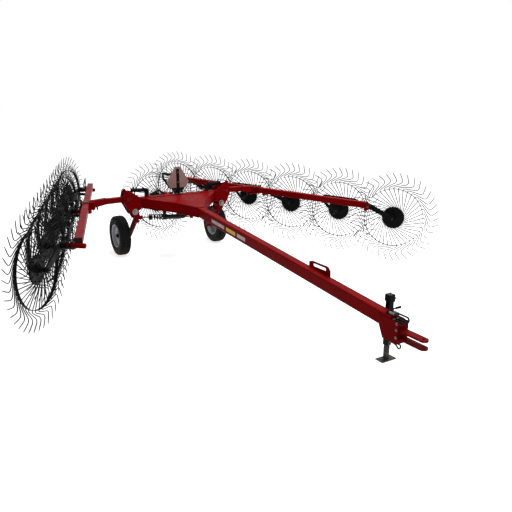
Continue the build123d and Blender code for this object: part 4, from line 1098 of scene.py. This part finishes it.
class RAKE_OT_leg_struts(bpy.types.Operator):
    """Builds the two spring struts between the wheel legs"""

    bl_idname = "rake.leg_struts"
    bl_label = "Leg Struts"

    def execute(self, context):
        size = context.scene.rake_sizes
        looks = finishes()
        dark = bmesh.new()
        bright = bmesh.new()
        for hand in (1, -1):
            x, y, z = size.strut_outer
            outer = at(x * hand, y * hand, z)
            x, y, z = size.strut_inner
            inner = at(x * hand, y * hand, z)
            way = (inner - outer).normalized()
            length = (inner - outer).length
            seat = length - STRUT_BARREL
            start = seat - STRUT_SPRING

            def spot(distance):
                return outer + way * distance

            add_tube(dark, [spot(0.016), spot(seat)], 0.010, 16)
            radius = size.spring_radius
            add_solid_turned(dark, [(radius - 0.002, 0.0), (radius, 0.001), (radius, 0.006), (0.014, 0.008),
                                    (0.014, 0.022)],
                             facing(spot(start), -way), 32)
            add_coil(dark, spot(start), spot(seat), radius - size.spring_wire / 2, size.spring_wire, 6.3)
            barrel = [(radius - 0.001, 0.0), (radius, 0.001), (radius, 0.008), (0.044, 0.010), (0.044, 0.070),
                      (0.040, 0.076), (0.040, 0.290), (0.034, 0.300), (0.034, 0.372), (0.028, 0.386), (0.012, 0.390)]
            add_solid_turned(dark, barrel, facing(spot(seat), way), 40)
            add_tube(dark, [spot(seat + 0.385), spot(length - 0.016)], 0.009, 16)
            add_solid_turned(bright, [(0.014, 0.0), (0.014, 0.016)], facing(spot(seat + 0.392), way), 6)
            for point in (outer, inner):
                rounded = [(0.0094, -0.011), (0.020, -0.011), (0.022, -0.009), (0.022, 0.009), (0.020, 0.011),
                           (0.0094, 0.011)]
                add_turned(dark, rounded, facing(point, FORWARD), 32)
                face = point - FORWARD * 0.0112 * (1 if point.x > MID_X else -1)
                away = FORWARD * (-1 if point.x > MID_X else 1)
                add_bolt(bright, face, away, 0.019)
        piece = finish_piece("sprung_struts", dark, looks["spring"], "frame")
        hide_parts("leg_struts")
        finish_piece("strut_nuts", bright, looks["bolt"], "frame", 30.0)
        return {"FINISHED"}


STRUT_BARREL = 0.515
STRUT_SPRING = 0.255


class RAKE_OT_chassis_fittings(bpy.types.Operator):
    """Adds pivot bolts, cheek bolts, welds, labels and the safety cable to frame and tongue"""

    bl_idname = "rake.chassis_fittings"
    bl_label = "Chassis Fittings"

    def execute(self, context):
        size = context.scene.rake_sizes
        looks = finishes()
        self.pivots(size, looks)
        self.nose(size, looks)
        self.welds(looks)
        self.labels(looks)
        return {"FINISHED"}

    def pivots(self, size, looks):
        bright = bmesh.new()
        dark = bmesh.new()
        heads = bmesh.new()
        for side in SIDES:
            hand = 1 if side == "left" else -1
            hinge, _ = axle_of(f"gang_{side}")
            for way, face in ((1, BRACKET_HIGH.x), (-1, BRACKET_LOW.x)):
                out = FORWARD * way
                start = Vector((face, hand * LEG_BOSS[0], LEG_BOSS[1]))
                foot = Vector((face, hand * LEG_HEAD[0], LEG_HEAD[1]))
                add_plate(heads, rounded_link(start, foot, out, 0.064, 0.046), out * 0.010)
                boss = start + out * 0.010
                add_solid_turned(bright, [(0.050, 0.0), (0.050, 0.006), (0.047, 0.008)], facing(boss, out), 48)
                add_bolt(bright, boss + out * 0.008, out, 0.055, washer=False)
                head = Vector((face + way * 0.010, hinge.y, hinge.z))
                add_solid_turned(dark, [(0.026, 0.0), (0.026, 0.002), (0.018, 0.0065)], facing(head, out), 32)
                add_bolt(dark, Vector((face, hinge.y - hand * 0.046, hinge.z + 0.004)), out, 0.019)
            arm = Vector((MID_X + 0.052, hand * LEG_FRONT[0], LEG_FRONT[1]))
            add_bolt(dark, arm, FORWARD, 0.030, shank=0.012)
        bevel_edges(heads, 0.0015)
        finish_piece("leg_heads", heads, looks["red"], "frame")
        finish_piece("leg_pivot_heads", bright, looks["zinc"], "frame", 30.0)
        finish_piece("hinge_heads", dark, looks["dark_red"], "frame", 30.0)

    def nose(self, size, looks):
        low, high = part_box("hitch_head")
        bolts = bmesh.new()
        for way in (-1, 1):
            face = (low.y + high.y) / 2 + way * (high.y - low.y) / 2
            for height in (0.411, 0.492, 0.558):
                add_bolt(bolts, Vector((high.x - 0.017, face, height)), Vector((0, way, 0)), 0.016,
                         shank=0.0 if way < 0 else 0.010)
        finish_piece("cheek_bolts", bolts, looks["bolt"], "frame", 30.0)
        cable = bmesh.new()
        jack_low, jack_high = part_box("jack_tube")
        loop = [Vector((jack_high.x - 0.016, jack_low.y + 0.055, low.z - 0.055)),
                Vector((jack_high.x + 0.022, jack_low.y + 0.032, low.z - 0.067)),
                Vector((jack_high.x + 0.065, jack_low.y, low.z - 0.072)),
                Vector((high.x - 0.152, jack_low.y - 0.030, low.z - 0.061)),
                Vector((high.x - 0.089, jack_low.y - 0.050, low.z - 0.054)),
                Vector((high.x - 0.036, jack_low.y - 0.070, low.z - 0.066)),
                Vector((high.x - 0.009, jack_low.y - 0.080, low.z - 0.059)),
                Vector((high.x + 0.014, jack_low.y - 0.090, low.z - 0.030)),
                Vector((high.x + 0.006, jack_low.y - 0.090, low.z - 0.010)),
                Vector((high.x - 0.024, jack_low.y - 0.090, low.z - 0.010)),
                Vector((high.x - 0.052, jack_low.y - 0.086, low.z + 0.002))]
        add_tube(cable, smooth_route(loop, 6), 0.0085, 14)
        for spot, way in ((loop[0], FORWARD), (loop[-1], -UP)):
            add_solid_turned(cable, [(0.014, 0.0), (0.014, 0.012), (0.010, 0.016)], facing(spot - way * 0.004, way), 20)
        finish_piece("safety_cable", cable, looks["spring"], "frame")

    def welds(self, looks):
        seams = bmesh.new()
        top = FRAME_TOP_Z
        bottom = top - FRAME_TALL
        deep = FRAME_HALF_DEEP
        for hand in (1, -1):
            inner = hand * BRACKET_INNER
            for way in (1, -1):
                face = way * deep
                add_weld(seams, at(face, inner, bottom + 0.012), at(face, inner, top - 0.012), 0.005)
                add_weld(seams, at(face, inner, top + 0.001), at(face, hand * 0.80, top + 0.001), 0.005)
            for way in (1, -1):
                x = way * (0.017 + 0.006)
                for offset in (-0.0285, 0.0285):
                    add_weld(seams, at(x - 0.008, hand * LUG_SIDE + offset, top + 0.002),
                             at(x + 0.008, hand * LUG_SIDE + offset, top + 0.002), 0.004)
            knee = (deep + 0.450, hand * 0.290)
            root = (deep, hand * 0.683)
            tip = (deep + 0.850, hand * 0.060)
            for (x0, y0), (x1, y1) in ((root, knee), (knee, tip)):
                add_weld(seams, at(x0, y0, tongue_top(x0) - 0.001), at(x1, y1, tongue_top(x1) - 0.001), 0.0042)
                add_weld(seams, at(x0, y0, tongue_top(x0) - TONGUE_TALL + 0.001),
                         at(x1, y1, tongue_top(x1) - TONGUE_TALL + 0.001), 0.0042)
            add_weld(seams, at(deep + 0.001, hand * 0.060, tongue_top(deep) + 0.009),
                     at(deep + 0.001, hand * 0.680, tongue_top(deep) + 0.009), 0.0042)
        tip = deep + 0.850
        add_weld(seams, at(tip, -0.052, tongue_top(tip) + 0.002), at(tip, 0.052, tongue_top(tip) + 0.002), 0.0045)
        low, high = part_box("hitch_head")
        for hand in (1, -1):
            y = (low.y + high.y) / 2 + hand * 0.061
            back = low.x - MID_X
            add_weld(seams, at(back, y, tongue_top(back) - TONGUE_TALL + 0.046), at(back, y, high.z - 0.004), 0.0045)
        low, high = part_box("lock_plate")
        for y in (low.y, high.y):
            start, end = low.x - MID_X + 0.004, high.x - MID_X - 0.004
            add_weld(seams, at(start, y, tongue_top(start) + 0.001), at(end, y, tongue_top(end) + 0.001), 0.0045)
        finish_piece("frame_welds", seams, looks["red"], "frame", 60.0)

    def labels(self, looks):
        for name, look, start, end, tall in (("label_rear", "label_pale", 1.40, 1.80, 0.052),
                                             ("label_middle", "label_yellow", 1.86, 2.13, 0.056),
                                             ("label_front", "label_pale", 2.18, 2.41, 0.052)):
            mesh = bmesh.new()
            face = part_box("tongue")[0].y
            middle = TONGUE_TALL * 0.52
            corners = [(start, tall / 2), (end, tall / 2), (end, -tall / 2), (start, -tall / 2)]
            outer = [mesh.verts.new(at(x, face - 0.0006, tongue_top(x) - middle + z)) for x, z in corners]
            inner = [mesh.verts.new(at(x, face + 0.0004, tongue_top(x) - middle + z)) for x, z in corners]
            mesh.faces.new(outer)
            mesh.faces.new(list(reversed(inner)))
            for step in range(4):
                after = (step + 1) % 4
                mesh.faces.new((outer[step], outer[after], inner[after], inner[step]))
            finish_piece(name, mesh, looks[look], "frame", 0.0)


FRAME_TOP_Z = 1.055
FRAME_TALL = 0.180
BRACKET_INNER = 0.690
LUG_SIDE = 0.560
LEG_BOSS = (0.808, 0.832)
LEG_HEAD = (0.776, 0.738)
LEG_FRONT = (0.755, 0.660)


# ---------------------------------------------------------------- sign


class RAKE_OT_sign(bpy.types.Operator):
    """Builds the blank slow-vehicle sign with its film and its bolts"""

    bl_idname = "rake.sign"
    bl_label = "Slow-Vehicle Sign"

    def execute(self, context):
        looks = finishes()
        low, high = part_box("sign_plate")
        half = (high.y - low.y) / 2
        tall = high.z - low.z
        nip = SIGN_CUT / 2
        lift = SIGN_CUT * math.sin(math.pi / 3)
        outline = [(-half + nip, 0.0), (half - nip, 0.0), (half, lift), (nip, tall), (-nip, tall), (-half, lift)]
        centre = (0.0, tall * 0.40)
        # Looking forward from behind: the plate's local X runs to the right, Y up, Z to the rear.
        place = Matrix.Translation((high.x, (low.y + high.y) / 2, low.z)) @ Matrix((
            (0, 0, -1, 0), (-1, 0, 0, 0), (0, 1, 0, 0), (0, 0, 0, 1)))
        plate = bmesh.new()
        add_prism(plate, outline, place, high.x - low.x)
        bevel_edges(plate, 0.0008)
        piece = finish_piece("sign_sheet", plate, looks["sign_back"], "frame")
        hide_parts("sign_plate")
        film = bmesh.new()
        surface = place @ Matrix.Translation((0, 0, high.x - low.x + 0.0001))
        inner = [(centre[0] + (x - centre[0]) * 0.80, centre[1] + (y - centre[1]) * 0.80) for x, y in outline]
        edge = [(centre[0] + (x - centre[0]) * 0.985, centre[1] + (y - centre[1]) * 0.985) for x, y in outline]
        rings = [[film.verts.new(surface @ Vector((x, y, z))) for x, y in points]
                 for points, z in ((edge, 0.0), (edge, 0.0005), (inner, 0.0005), (inner, 0.0))]
        for first, second in zip(rings, rings[1:] + rings[:1]):
            for step in range(6):
                after = (step + 1) % 6
                film.faces.new((first[step], first[after], second[after], second[step]))
        finish_piece("sign_border", film, looks["border"], "frame", 0.0)
        middle = bmesh.new()
        add_prism(middle, [(x * 0.998, y) for x, y in inner], surface, 0.0004)
        finish_piece("sign_centre", middle, looks["orange"], "frame", 0.0)
        bolts = bmesh.new()
        post_low, post_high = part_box("sign_post")
        for height in (0.09, 0.26):
            add_bolt(bolts, Vector((low.x - 0.0006, (low.y + high.y) / 2, low.z + height)), -FORWARD, 0.013)
            add_bolt(bolts, Vector((high.x + 0.008, (low.y + high.y) / 2, low.z + height)), FORWARD, 0.013)
        for way in (-1, 1):
            add_bolt(bolts, Vector((post_high.x - 0.013, way * 0.030, post_low.z + 0.008)), UP, 0.016)
            add_bolt(bolts, Vector((post_low.x + 0.013, way * 0.030, post_low.z + 0.008)), UP, 0.016)
        finish_piece("sign_bolts", bolts, looks["bolt"], "frame", 30.0)
        return {"FINISHED"}


SIGN_CUT = 0.110


# ---------------------------------------------------------------- hoses


class RAKE_OT_hydraulics(bpy.types.Operator):
    """Builds the valve block, the hoses and their couplers, and dresses the lift cylinders"""

    bl_idname = "rake.hydraulics"
    bl_label = "Hydraulics"

    def execute(self, context):
        looks = finishes()
        self.parked_ends(looks)
        self.valve(looks)
        for side in SIDES:
            self.cylinder(side, looks)
        return {"FINISHED"}

    def parked_ends(self, looks):
        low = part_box("hose_ends")[0]
        holder_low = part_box("coupler_holder")[0]
        hoses = bmesh.new()
        metal = bmesh.new()
        caps = bmesh.new()
        bend = PARKED_BEND
        bottom = low.z + 0.009
        for hand in (1, -1):
            y = hand * 0.026
            back_x = low.x + 0.080
            turn_x = back_x + PARKED_REACH
            route = [Vector((back_x, y, bottom)), Vector((turn_x, y, bottom))]
            route += [Vector((turn_x + bend * math.sin(turn), y, bottom + bend - bend * math.cos(turn)))
                      for turn in (math.pi * step / 14 for step in range(1, 14))]
            route += [Vector((turn_x, y, bottom + 2 * bend)), Vector((back_x, y, bottom + 2 * bend))]
            add_tube(hoses, route, 0.009, 14)
            ferrule = [(0.0105, -0.004), (0.0125, 0.0), (0.0125, 0.022), (0.0105, 0.026)]
            add_solid_turned(metal, ferrule, facing(route[0] + FORWARD * 0.002, FORWARD), 20)
            top = Vector((back_x, y, bottom + 2 * bend))
            add_solid_turned(metal, [(0.0115, -0.020), (0.0130, -0.016), (0.0130, 0.004)], facing(top, -FORWARD), 20)
            add_solid_turned(metal, [(0.0138, 0.004), (0.0138, 0.020)], facing(top, -FORWARD), 6)
            add_solid_turned(metal, [(0.0115, 0.020), (0.0138, 0.024), (0.0138, 0.052), (0.0115, 0.056)],
                             facing(top, -FORWARD), 28)
            add_solid_turned(caps, [(0.0125, 0.054), (0.0138, 0.056), (0.0138, 0.070), (0.0110, 0.0795)],
                             facing(top, -FORWARD), 28)
        rest = bmesh.new()
        plate_low = tongue_top(holder_low.x - MID_X)
        level = bottom + 2 * bend
        for hand in (1, -1):
            ring = [Vector((holder_low.x, hand * 0.026 + 0.023 * math.cos(turn), level + 0.023 * math.sin(turn)))
                    for turn in (math.tau * step / 32 for step in range(32))]
            hole = [Vector((holder_low.x, hand * 0.026 + (point.y - hand * 0.026) * 0.615, level + (point.z - level) * 0.615))
                    for point in ring]
            near = [rest.verts.new(point) for point in ring]
            near_in = [rest.verts.new(point) for point in hole]
            far = [rest.verts.new(point + FORWARD * 0.008) for point in ring]
            far_in = [rest.verts.new(point + FORWARD * 0.008) for point in hole]
            for step in range(32):
                after = (step + 1) % 32
                rest.faces.new((near[step], near[after], near_in[after], near_in[step]))
                rest.faces.new((far[after], far[step], far_in[step], far_in[after]))
                rest.faces.new((near[after], near[step], far[step], far[after]))
                rest.faces.new((near_in[step], near_in[after], far_in[after], far_in[step]))
        add_block(rest, (holder_low.x, -0.050, plate_low - 0.002), (holder_low.x + 0.008, 0.050, level - 0.0205))
        add_block(rest, (holder_low.x - 0.030, -0.050, plate_low - 0.004), (holder_low.x, 0.050, plate_low + 0.004))
        rack = finish_piece("coupler_rack", rest, looks["black"], "frame", 30.0)
        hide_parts("coupler_holder")
        piece = finish_piece("parked_hoses", hoses, looks["hose"], "frame")
        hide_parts("hose_ends")
        finish_piece("couplers", metal, looks["bolt"], "frame", 30.0)
        finish_piece("coupler_caps", caps, looks["plastic"], "frame")

    def valve(self, looks):
        body = bmesh.new()
        add_block(body, at(-0.060, -0.030, FRAME_TOP_Z), at(-0.006, 0.030, FRAME_TOP_Z + 0.050))
        bevel_edges(body, 0.003)
        add_solid_turned(body, [(0.014, 0.0), (0.014, 0.030), (0.010, 0.034)],
                         facing(at(-0.033, 0.0, FRAME_TOP_Z + 0.050), UP), 24)
        finish_piece("valve_block", body, looks["black"], "frame")
        hoses = bmesh.new()
        metal = bmesh.new()
        top = FRAME_TOP_Z
        # Left hoses arch high to their cylinder. Right hoses droop behind the frame and arch over its edge.
        for hand, lifts in ((1, (0.190, 0.160)), (-1, (0.072, 0.056))):
            for lift, x in zip(lifts, (-0.046, -0.018)):
                start = [at(x, hand * 0.030, top + 0.026), at(x, hand * 0.060, top + 0.028)]
                end = [at(x, hand * 0.505, top + 0.024), at(x, hand * 0.523, top + 0.024)]
                if hand > 0:
                    middle = [at(x, hand * 0.14, top + 0.022 + lift * 0.75), at(x * 0.8, hand * 0.24, top + 0.018 + lift),
                              at(x * 0.8, hand * 0.37, top + 0.020 + lift * 0.62),
                              at(x, hand * 0.46, top + 0.022 + lift * 0.12)]
                else:
                    middle = [at(x - 0.050, hand * 0.100, top - 0.002), at(x - 0.066, hand * 0.150, top - 0.028),
                              at(x - 0.066, hand * 0.195, top - 0.020), at(x - 0.030, hand * 0.260, top + 0.012 + lift * 0.5),
                              at(x * 0.8, hand * 0.335, top + 0.012 + lift), at(x, hand * 0.425, top + 0.014 + lift * 0.45)]
                route = start + middle + end
                add_tube(hoses, smooth_route(route, 8), 0.0095, 12)
                for spot, way in ((route[0], Vector((0, hand, 0))), (route[-1], Vector((0, -hand, 0)))):
                    add_solid_turned(metal, [(0.011, -0.008), (0.011, 0.010)], facing(spot, way), 6)
                    add_solid_turned(metal, [(0.0095, 0.010), (0.0095, 0.026), (0.008, 0.028)], facing(spot, way), 18)
                manifold = at(x, hand * 0.531, top + 0.019)
                add_solid_turned(metal, [(0.014, -0.019), (0.014, 0.016)], facing(manifold, UP), 6)
        finish_piece("valve_hoses", hoses, looks["hose"], "frame")
        finish_piece("hose_fittings", metal, looks["zinc"], "frame", 30.0)

    def cylinder(self, side, looks):
        body = f"lift_barrel_{side}"
        base = Vector(JOINT_OF[body]["pos_m"])
        way = Vector(JOINT_OF[f"lift_rod_{side}"]["axis"]).normalized()
        if way.y * base.y < 0:
            way = -way
        reach = 0.274
        dark = bmesh.new()
        gland = [(0.0147, -0.030), (0.033, -0.030), (0.0345, -0.028), (0.0345, -0.004), (0.031, 0.0), (0.020, 0.001),
                 (0.0147, 0.001)]
        add_turned(dark, gland, facing(base + way * reach, way), 40)
        add_turned(dark, [(0.0322, 0.0), (0.034, 0.002), (0.034, 0.014), (0.0322, 0.016)],
                   facing(base + way * 0.038, way), 40, closed=False)
        for face in (0.031, -0.037):
            start = base + FORWARD * face
            add_plate(dark, rounded_link(start, start + way * 0.080, FORWARD, 0.031, 0.024), FORWARD * 0.006)
            add_plate(dark, rounded_link(start, start - UP * 0.050, FORWARD, 0.031, 0.027), FORWARD * 0.0055)
        for along in (0.060, 0.225):
            port = base + way * along + UP * 0.028
            add_solid_turned(dark, [(0.013, 0.0), (0.013, 0.016), (0.011, 0.018)], facing(port, UP), 24)
        finish_piece(f"cylinder_gland_{side}", dark, looks["black"], body)
        metal = bmesh.new()
        for along in (0.060, 0.225):
            port = base + way * along + UP * 0.046
            add_solid_turned(metal, [(0.010, 0.0), (0.010, 0.012)], facing(port, UP), 6)
        finish_piece(f"cylinder_ports_{side}", metal, looks["zinc"], body, 30.0)


PARKED_BEND = 0.028
PARKED_REACH = 0.135


# ---------------------------------------------------------------- parking jack

JACK_TUBE = 0.060
JACK_WALL = 0.005
JACK_HEAD = 0.076
JACK_HEAD_TALL = 0.072
JACK_HEAD_RISE = 0.022


class RAKE_OT_jack(bpy.types.Operator):
    """Builds the parking jack's tube, head, cover, pins, grip and foot studs"""

    bl_idname = "rake.jack"
    bl_label = "Parking Jack"

    def execute(self, context):
        looks = finishes()
        low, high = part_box("jack_tube")
        leg_low, leg_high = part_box("jack_leg")
        centre_x = (leg_low.x + leg_high.x) / 2
        centre_y = (leg_low.y + leg_high.y) / 2
        head_top = high.z + JACK_HEAD_RISE
        head_low = head_top - JACK_HEAD_TALL
        half = JACK_TUBE / 2
        tube = bmesh.new()
        add_square_tube(tube, centre_x, centre_y, JACK_TUBE, JACK_WALL, low.z, head_low)
        bevel_edges(tube, 0.002)
        head = bmesh.new()
        wide = JACK_HEAD / 2
        add_block(head, (centre_x - wide, centre_y - wide, head_low), (centre_x + wide, centre_y + wide, head_top))
        bevel_edges(head, 0.006)
        add_solid_turned(head, [(0.040, 0.0), (0.040, centre_y - half - low.y + 0.001)],
                         facing((centre_x, low.y, tongue_top(centre_x - MID_X) - TONGUE_TALL / 2), (0, 1, 0)), 36)
        merge(tube, head)
        piece = finish_piece("jack_body", tube, looks["black"], "frame", 30.0)
        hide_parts("jack_tube")
        cover = bmesh.new()
        add_block(cover, (centre_x - wide + 0.003, centre_y - wide + 0.003, head_top - 0.001),
                  (centre_x + wide - 0.003, centre_y + wide - 0.003, head_top + 0.003))
        bevel_edges(cover, 0.001)
        for x, y in ((-1, -1), (-1, 1), (1, -1), (1, 1)):
            add_bolt(cover, Vector((centre_x + x * 0.025, centre_y + y * 0.025, head_top + 0.003)), UP, 0.010,
                     washer=False)
        finish_piece("jack_cover", cover, looks["galvanised"], "frame")
        shaft = bmesh.new()
        crank_low, crank_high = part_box("jack_crank")
        collar_z = crank_high.z - 0.008
        face = centre_y + wide
        add_solid_turned(shaft, [(0.020, 0.0), (0.020, 0.012), (0.014, 0.016), (0.014, 0.028)],
                         facing((centre_x, face, collar_z), (0, 1, 0)), 28)
        mount_z = tongue_top(centre_x - MID_X) - TONGUE_TALL / 2
        handle = facing((centre_x, centre_y + half - 0.001, mount_z + 0.020), (0, 1, 0))
        add_solid_turned(shaft, [(0.013, 0.0), (0.013, 0.008), (0.008, 0.010), (0.008, 0.070)], handle, 20)
        add_solid_turned(shaft, [(0.011, 0.066), (0.0135, 0.070), (0.0125, 0.090), (0.0135, 0.120), (0.0135, 0.134),
                                 (0.009, 0.140)], handle, 24)
        finish_piece("jack_lock_handle", shaft, looks["black"], "frame")
        grip = bmesh.new()
        grip_x = crank_low.x + 0.0112
        grip_z = crank_low.z + 0.0112
        add_solid_turned(grip, [(0.0145, 0.0), (0.0165, 0.004), (0.0155, 0.020), (0.0165, 0.045), (0.0150, 0.062),
                                (0.0165, 0.076), (0.012, 0.080)],
                         facing((grip_x, crank_high.y - 0.082, grip_z), (0, 1, 0)), 28)
        finish_piece("crank_grip", grip, looks["plastic"], "frame")
        pin = bmesh.new()
        tube_face = centre_x + half
        pin_z = low.z + 0.048
        for start, end in ((-half - 0.014, -half + 0.001), (half - 0.001, half + 0.020)):
            add_tube(pin, [(centre_x + start, centre_y, pin_z), (centre_x + end, centre_y, pin_z)], 0.007, 16)
        ring = [Vector((tube_face + 0.014, centre_y + 0.018 * math.sin(turn), pin_z - 0.018 + 0.018 * math.cos(turn)))
                for turn in (math.tau * step / 24 for step in range(25))]
        add_tube(pin, ring, 0.0016, 8)
        finish_piece("jack_pin", pin, looks["zinc"], "frame", 30.0)
        foot = bmesh.new()
        for x, y in ((-0.040, 0.084), (0.040, 0.084), (-0.040, -0.084), (0.040, -0.084)):
            add_solid_turned(foot, [(0.008, 0.0), (0.008, 0.0012), (0.006, 0.0016)],
                             facing((centre_x + x, centre_y + y, leg_low.z + 0.010), UP), 16)
        finish_piece("jack_foot_studs", foot, looks["galvanised"], "jack_leg", 30.0)
        return {"FINISHED"}


# ---------------------------------------------------------------- carried-over pieces


PAINTED = {
    "red": ("wheel_leg_left", "wheel_leg_right", "hinge_pins", "main_frame", "end_brackets", "tongue", "hitch_head",
            "hitch_clevis", "lock_plate", "kicker_arm", "boom_left", "boom_right", "gang_beam_left",
            "gang_beam_right"),
    "black": ("sign_post", "wheel_arms_left", "wheel_arms_right", "lift_barrel_left", "lift_barrel_right"),
    "spring": ("jack_crank",),
    "galvanised": ("jack_leg",),
    "chrome": ("lift_rod_left", "lift_rod_right"),
}


class RAKE_OT_paint(bpy.types.Operator):
    """Paints every piece that is carried over from the frame"""

    bl_idname = "rake.paint"
    bl_label = "Paint the Frame"

    def execute(self, context):
        looks = finishes()
        for look, nodes in PAINTED.items():
            for node in nodes:
                coat(node, looks[look])
        return {"FINISHED"}


# ---------------------------------------------------------------- stage


def studio_floor_material():
    """Pale matt floor that still takes the machine's shadow."""
    floor = Finish("pale_floor", (0.72, 0.72, 0.72), 0.95)
    speck = floor.span(floor.noise(1.2, 3.0), 0.3, 0.7)
    floor.use(floor.blend(speck, (0.71, 0.71, 0.71), (0.73, 0.73, 0.73)), "Base Color")
    floor.shader.inputs["Specular IOR Level"].default_value = 0.0
    path = floor.node("ShaderNodeLightPath")
    seen = floor.math("MAXIMUM", path.outputs["Is Camera Ray"],
                      floor.math("MAXIMUM", path.outputs["Is Glossy Ray"], path.outputs["Is Transmission Ray"]))
    glow = floor.node("ShaderNodeEmission")
    glow.inputs["Color"].default_value = (1, 1, 1, 1)
    floor.join(floor.math("MULTIPLY", seen, 0.74), glow.inputs["Strength"])
    both = floor.node("ShaderNodeAddShader")
    floor.join(floor.shader.outputs["BSDF"], both.inputs[0])
    floor.join(glow.outputs["Emission"], both.inputs[1])
    floor.join(both.outputs["Shader"], floor.tree.nodes["Material Output"].inputs["Surface"])
    return floor.material


def studio_world():
    """White to the eye and in reflections, soft light elsewhere."""
    world = bpy.data.worlds.new("studio")
    world.use_nodes = True
    tree = world.node_tree
    soft = tree.nodes["Background"]
    soft.inputs["Color"].default_value = (0.97, 0.98, 1.0, 1)
    soft.inputs["Strength"].default_value = 0.38
    white = tree.nodes.new("ShaderNodeBackground")
    white.inputs["Color"].default_value = (1, 1, 1, 1)
    white.inputs["Strength"].default_value = 1.0
    path = tree.nodes.new("ShaderNodeLightPath")
    glossy = tree.nodes.new("ShaderNodeMath")
    glossy.operation = "MAXIMUM"
    seen = tree.nodes.new("ShaderNodeMath")
    seen.operation = "MAXIMUM"
    mix = tree.nodes.new("ShaderNodeMixShader")
    links = tree.links
    links.new(path.outputs["Is Glossy Ray"], glossy.inputs[0])
    links.new(path.outputs["Is Transmission Ray"], glossy.inputs[1])
    links.new(path.outputs["Is Camera Ray"], seen.inputs[0])
    links.new(glossy.outputs["Value"], seen.inputs[1])
    links.new(seen.outputs["Value"], mix.inputs["Fac"])
    links.new(soft.outputs["Background"], mix.inputs[1])
    links.new(white.outputs["Background"], mix.inputs[2])
    links.new(mix.outputs["Shader"], tree.nodes["World Output"].inputs["Surface"])
    bpy.context.scene.world = world


def area_lamp(name, spot, target, size, power):
    lamp = bpy.data.lights.new(name, "AREA")
    lamp.shape = "DISK"
    lamp.size = size
    lamp.energy = power
    made = bpy.data.objects.new(name, lamp)
    bpy.context.scene.collection.objects.link(made)
    made.matrix_world = facing(spot, Vector(spot) - Vector(target))
    return made


class RAKE_OT_stage(bpy.types.Operator):
    """Sets the floor, the lamps and the camera"""

    bl_idname = "rake.stage"
    bl_label = "Stage"

    def execute(self, context):
        scene = context.scene
        stage = scene.rake_stage
        floor_mesh = bmesh.new()
        bmesh.ops.create_grid(floor_mesh, x_segments=8, y_segments=8, size=stage.floor_size)
        data = bpy.data.meshes.new("floor")
        floor_mesh.to_mesh(data)
        floor_mesh.free()
        data.materials.append(studio_floor_material())
        floor = bpy.data.objects.new("floor", data)
        floor.location.z = CAD_BOX[0][2] - 0.0005
        scene.collection.objects.link(floor)
        studio_world()
        middle = Vector((0, 0, 0.8))
        area_lamp("overhead_lamp", (1.0, 2.5, 9.0), middle, 9.0, stage.key_light)
        area_lamp("side_lamp", (7.0, -8.0, 4.5), middle, 6.0, stage.fill_light)
        flat = math.cos(stage.tilt)
        look = Vector((math.cos(stage.heading) * flat, math.sin(stage.heading) * flat, -math.sin(stage.tilt)))
        right = look.cross(UP).normalized()
        above = right.cross(look)
        lens = bpy.data.cameras.new("camera")
        lens.sensor_width = 36.0
        lens.lens = stage.focal
        lens.clip_end = 400.0
        camera = bpy.data.objects.new("camera", lens)
        turned = Matrix((right, above, -look)).transposed().to_4x4()
        spot = Vector((FRAME_REAR_X + stage.reach, -stage.side, stage.height))
        camera.matrix_world = Matrix.Translation(spot) @ turned @ Matrix.Rotation(stage.roll, 4, "Z")
        scene.collection.objects.link(camera)
        scene.camera = camera
        scene.view_settings.view_transform = "Standard"
        return {"FINISHED"}


# ---------------------------------------------------------------- add-on


class RAKE_PT_finish(bpy.types.Panel):
    """Lists the finishing steps"""

    bl_label = "Hay Rake"
    bl_idname = "RAKE_PT_finish"
    bl_space_type = "VIEW_3D"
    bl_region_type = "UI"
    bl_category = "Hay Rake"

    def draw(self, context):
        for step in STEPS:
            self.layout.operator(step.bl_idname)


STEPS = (RAKE_OT_stage, RAKE_OT_paint, RAKE_OT_rake_wheels, RAKE_OT_transport_wheels, RAKE_OT_gang_fittings,
         RAKE_OT_leg_struts, RAKE_OT_chassis_fittings, RAKE_OT_sign, RAKE_OT_hydraulics, RAKE_OT_jack)
GROUPS = (("rake_sizes", RakeSizes), ("rake_colours", RakeColours), ("rake_stage", StageSettings))


def register():
    for name, group in GROUPS:
        bpy.utils.register_class(group)
        setattr(bpy.types.Scene, name, PointerProperty(type=group))
    for kind in STEPS + (RAKE_PT_finish,):
        bpy.utils.register_class(kind)


def unregister():
    for kind in reversed(STEPS + (RAKE_PT_finish,)):
        bpy.utils.unregister_class(kind)
    for name, group in reversed(GROUPS):
        delattr(bpy.types.Scene, name)
        bpy.utils.unregister_class(group)


def main():
    register()
    for step in STEPS:
        section, call = step.bl_idname.split(".")
        getattr(getattr(bpy.ops, section), call)()


if __name__ == "__main__":
    main()
